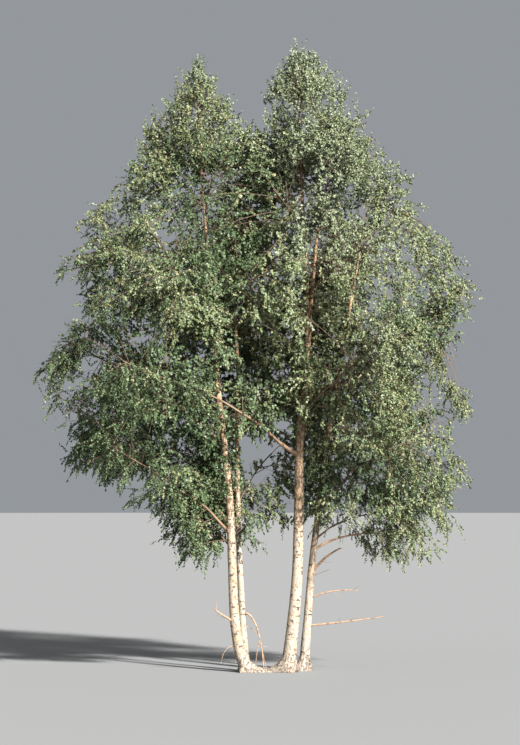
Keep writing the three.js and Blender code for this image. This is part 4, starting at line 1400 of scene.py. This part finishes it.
def drawn_limb(name, ends, radii, rings, collar=1, bends=()):
    """A limb drawn as a curve with a round section, swollen at its root, and made a mesh."""
    start, knee, end = ends
    select_only()
    bpy.ops.curve.primitive_bezier_curve_add(location=(0, 0, 0))
    limb = bpy.context.object
    limb.name = name
    line = limb.data
    line.dimensions = "3D"
    line.bevel_depth = 1
    line.bevel_resolution = LIMB_SECTION
    line.use_fill_caps = True
    spline = line.splines[0]
    spline.resolution_u = rings
    first, last = spline.bezier_points
    for point in (first, last):
        point.handle_left_type = point.handle_right_type = "FREE"
    first.co, last.co = start, end
    first.handle_left = start - (knee - start) / 3
    first.handle_right = start + (knee - start) * 2 / 3
    last.handle_left = end + (knee - end) * 2 / 3
    last.handle_right = end - (knee - end) / 3
    first.radius, last.radius = radii[0], radii[1]
    if len(bends):
        bpy.ops.object.mode_set(mode="EDIT")
        bpy.ops.curve.select_all(action="SELECT")
        bpy.ops.curve.subdivide(number_cuts=len(bends))
        bpy.ops.object.mode_set(mode="OBJECT")
        for point, bend in zip(line.splines[0].bezier_points[1:-1], bends):
            for part in ("co", "handle_left", "handle_right"):
                setattr(point, part, getattr(point, part) + Vector(bend))
    line.splines[0].bezier_points[0].radius *= collar
    bpy.ops.object.convert(target="MESH")
    return bpy.context.object


def joined(limbs, name):
    select_only(*limbs)
    bpy.ops.object.join()
    limbs[0].name = limbs[0].data.name = name
    return limbs[0]


class BIRCH_OT_stems(bpy.types.Operator):
    """Model the four stems and the second leader, with bark that stands out"""

    bl_idname = "birch.stems"
    bl_label = "Stems"

    def execute(self, context):
        sizes = context.scene.birch_sizes
        bark = birch_bark(context.scene.birch_colours)
        coarse = relief_texture("coarse bark")
        fine = relief_texture("fine bark")
        above = {"strength": sizes.bark_relief, "vertex_group": "above"}
        foot = {"strength": sizes.foot_relief, "vertex_group": "foot"}
        for name, stem in STEMS.items():
            heights = stem["top"] * (np.arange(STEM_RINGS) / (STEM_RINGS - 1)) ** STEM_RING_POWER
            points = [axis_point(stem["course"], height) for height in heights]
            radii = [stem_radius(stem, height) * BARK_THICKNESS for height in heights]
            limb = extruded(f"{name}_bark", list(zip(points, radii)), STEM_SIDES)
            pull_roots(limb, stem)
            pick_corners(limb, lambda co: co.z < GROUND)
            bpy.ops.transform.edge_crease(value=1)
            bpy.ops.object.mode_set(mode="OBJECT")
            apply_modifier(limb, "SUBSURF", levels=2, render_levels=2)
            weigh_foot(limb)
            apply_modifier(limb, "DISPLACE", texture=fine, **above)
            apply_modifier(limb, "DISPLACE", texture=coarse, **foot)
            limb.vertex_groups.clear()
            finish_piece(limb, bark, [name])
        for name, leader in LEADERS.items():
            points = course_points(leader["course"], LEADER_RINGS)
            rings = list(zip(points, np.linspace(*leader["radii"], LEADER_RINGS)))
            limb = extruded(f"{name}_bark", rings, LEADER_SIDES)
            bpy.ops.object.mode_set(mode="OBJECT")
            apply_modifier(limb, "SUBSURF", levels=1, render_levels=1)
            apply_modifier(limb, "DISPLACE", texture=fine, strength=sizes.bark_relief / 2)
            finish_piece(limb, bark, [name])
        return {"FINISHED"}


class BIRCH_OT_boughs(bpy.types.Operator):
    """Model the living boughs, each with a swollen root"""

    bl_idname = "birch.boughs"
    bl_label = "Boughs"

    def execute(self, context):
        colours = context.scene.birch_colours
        bark = smooth_bark("bough bark", colours.bough, colours)
        relief = relief_texture("bough bark")
        rng = np.random.default_rng(context.scene.birch_sizes.seed + 3)
        for side in ("left", "right"):
            names = [m.bough for m in CROWN.masses if m.side == side and m.bough]
            limbs = []
            for name in names:
                limb = CROWN.limbs[name]
                radii = limb.radii[[0, -1]] * BOUGH_SLIMNESS
                bends = rng.normal(size=(BOUGH_CUTS, 3)) * BOUGH_BENDS
                drawing = (radii, BOUGH_RINGS, BOUGH_COLLAR, bends)
                limbs.append(drawn_limb(name + "_bark", limb.way.ends, *drawing))
            piece = joined(limbs, f"{side}_boughs")
            apply_modifier(piece, "DISPLACE", texture=relief, strength=BOUGH_RELIEF)
            finish_piece(piece, bark, names)
        return {"FINISHED"}


class BIRCH_OT_dead_limbs(bpy.types.Operator):
    """Model the dead lower limbs with their bare twigs"""

    bl_idname = "birch.dead_limbs"
    bl_label = "Dead limbs"

    def execute(self, context):
        colours = context.scene.birch_colours
        wood = weathered_wood(colours)
        rng = np.random.default_rng(context.scene.birch_sizes.seed + 1)
        relief = relief_texture("dead wood")
        limbs = []
        names = [name for dead in DEAD_LIMBS.values() for name in dead]
        for name in names:
            way, radii = CROWN.limbs[name].way, CROWN.limbs[name].radii[[0, -1]]
            limbs.append(drawn_limb(name + "_wood", way.ends, radii, DEAD_RINGS, DEAD_COLLAR))
            for share in np.arange(*DEAD_TWIG_SHARES):
                start = way.at(share)
                sway = DEAD_TWIG_SWAY * rng.normal(size=3)
                heading = unit(way.heading(share) + sway - DEAD_TWIG_DROOP * UP)
                end = start + heading * rng.uniform(*DEAD_TWIG_LENGTHS)
                if end[2] < DEAD_TWIG_LOWEST:
                    continue
                knee = (start + end) / 2 + DEAD_TWIG_BEND * rng.normal(size=3)
                twig = ((start, knee, end), DEAD_TWIG_RADII, DEAD_TWIG_RINGS)
                limbs.append(drawn_limb(name + "_twig", *twig))
        for shoot in BARE_SHOOTS:
            limbs.append(drawn_limb("bare_shoot", np.array(shoot), SHOOT_RADII, SHOOT_RINGS))
        piece = joined(limbs, "dead_limbs")
        apply_modifier(piece, "DISPLACE", texture=relief, strength=DEAD_RELIEF)
        finish_piece(piece, wood, names)
        return {"FINISHED"}


class BIRCH_OT_foliage(bpy.types.Operator):
    """Grow the branches, twigs and leaves of every mass of foliage"""

    bl_idname = "birch.foliage"
    bl_label = "Foliage"

    def execute(self, context):
        sizes = context.scene.birch_sizes
        colours = context.scene.birch_colours
        branch_bark = smooth_bark("branch bark", colours.branch, colours)
        twig_bark = Paint("twig bark", colours.twig, 0.7).material
        parts = grown(sizes)
        for side, kinds in parts.items():
            masses = [mass for mass in CROWN.masses if mass.side == side]
            names = [mass.name for mass in masses]
            ends = [np.array([mass.stem.ends[k] for mass in masses]) for k in range(3)]
            stems = tubes(ends, *MASS_STEM_TUBES)
            branches = tubes(kinds["branches"], *BRANCH_TUBES)
            piece = object_from_arrays(f"{side}_branches", [stems, branches])
            finish_piece(piece, branch_bark, names)
            twigs = tubes(kinds["twigs"], *TWIG_TUBES)
            sprays = cones(kinds["sprays"], SPRAY_RADIUS)
            piece = object_from_arrays(f"{side}_twigs", [twigs, sprays])
            finish_piece(piece, twig_bark, names)
        sprays = [np.concatenate(rows) for rows in zip(*(p["sprays"] for p in parts.values()))]
        self.add_leaves(sprays, sizes, colours)
        return {"FINISHED"}

    def add_leaves(self, sprays, sizes, colours):
        rng = np.random.default_rng(sizes.seed + 2)
        points, headings, shares = leaf_places(sprays, sizes.leaves_on_spray, rng)
        inner = 1 - np.linalg.norm((sprays[2] - CROWN_MIDDLE) / CROWN_HALF_SIZES, axis=1)
        lengths = sizes.leaf_length * rng.uniform(*LEAF_LENGTHS, shares.shape)
        taper = LEAF_TAPER[0] - LEAF_TAPER[1] * shares
        lengths *= taper * np.interp(inner, *INNER_LEAVES)[:, None]
        corners = leaf_corners(points, headings, lengths, sizes.leaf_width, rng)
        corners = corners.reshape(len(inner), -1, 3)
        # The lighter tints fall where light is painted, the darker ones where shade is painted
        order = np.argsort(leaf_tones(sprays, inner, rng))
        names = [mass.name for mass in CROWN.masses]
        for tint, group in zip(LEAF_TINTS, np.array_split(order, len(LEAF_TINTS))):
            rows = corners[group].reshape(-1, 3)
            first = np.arange(0, len(rows), len(LEAF_OUTLINE))[:, None, None]
            faces = (first + LEAF_HALVES).reshape(-1, 3)
            paint = Paint(tint.replace("_", " "), getattr(colours, tint), *LEAF_SURFACE)
            piece = object_from_arrays(tint.replace("leaf", "leaves"), [(rows, [faces])])
            finish_piece(piece, paint.material, names, smooth=False)


class BIRCH_OT_stage(bpy.types.Operator):
    """Set up the floor, the lights and the camera"""

    bl_idname = "birch.stage"
    bl_label = "Stage"

    def execute(self, context):
        scene = context.scene
        select_only()
        bpy.ops.mesh.primitive_circle_add(**FLOOR_DISC)
        floor = context.object
        floor.name = "floor"
        floor.data.materials.append(Paint("floor", FLOOR_COLOUR, *FLOOR_SURFACE).material)
        floor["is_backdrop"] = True
        sky = bpy.data.worlds.new("studio")
        sky.use_nodes = True
        light = sky.node_tree.nodes["Background"].inputs
        light["Color"].default_value = (*SKY_COLOUR, 1)
        light["Strength"].default_value = SKY_STRENGTH
        scene.world = sky
        scene.view_settings.view_transform = "Standard"
        for name, bearing, height, energy, spread in LIGHTS:
            lamp = bpy.data.lights.new(name, "SUN")
            lamp.energy = energy
            lamp.angle = math.radians(spread)
            light = bpy.data.objects.new(name, lamp)
            light.rotation_euler = (math.radians(90 - height), 0, math.radians(bearing))
            scene.collection.objects.link(light)
        lens = bpy.data.cameras.new("camera")
        lens.lens = LENS
        lens.sensor_width = SENSOR_WIDTH
        lens.clip_end = FARTHEST
        camera = bpy.data.objects.new("camera", lens)
        camera.location = CAMERA_PLACE
        camera.rotation_euler = (math.radians(90 + CAMERA_TILT), 0, 0)
        scene.collection.objects.link(camera)
        scene.camera = camera
        return {"FINISHED"}


class BIRCH_PT_panel(bpy.types.Panel):
    """Sizes, colours and pieces of the birch clump"""

    bl_label = "Birch Clump"
    bl_idname = "BIRCH_PT_panel"
    bl_space_type = "VIEW_3D"
    bl_region_type = "UI"
    bl_category = "Birch"

    def draw(self, context):
        layout = self.layout
        for group in (context.scene.birch_sizes, context.scene.birch_colours):
            column = layout.column()
            for name in group.__annotations__:
                column.prop(group, name)
        for operator in OPERATORS:
            layout.operator(operator.bl_idname)


OPERATORS = (
    BIRCH_OT_stems,
    BIRCH_OT_boughs,
    BIRCH_OT_dead_limbs,
    BIRCH_OT_foliage,
    BIRCH_OT_stage,
)
CLASSES = (BirchSizes, BirchColours, *OPERATORS, BIRCH_PT_panel)


def register():
    for made in CLASSES:
        bpy.utils.register_class(made)
    bpy.types.Scene.birch_sizes = PointerProperty(type=BirchSizes)
    bpy.types.Scene.birch_colours = PointerProperty(type=BirchColours)


def unregister():
    del bpy.types.Scene.birch_colours
    del bpy.types.Scene.birch_sizes
    for made in reversed(CLASSES):
        bpy.utils.unregister_class(made)


def main():
    register()
    bpy.ops.birch.stems()
    bpy.ops.birch.boughs()
    bpy.ops.birch.dead_limbs()
    bpy.ops.birch.foliage()
    bpy.ops.birch.stage()
    boxes = {"solids": SOLID_BOX, "scene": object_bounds()}
    {name: [list(corner) for corner in box] for name, box in boxes.items()}


if __name__ == "__main__":
    main()
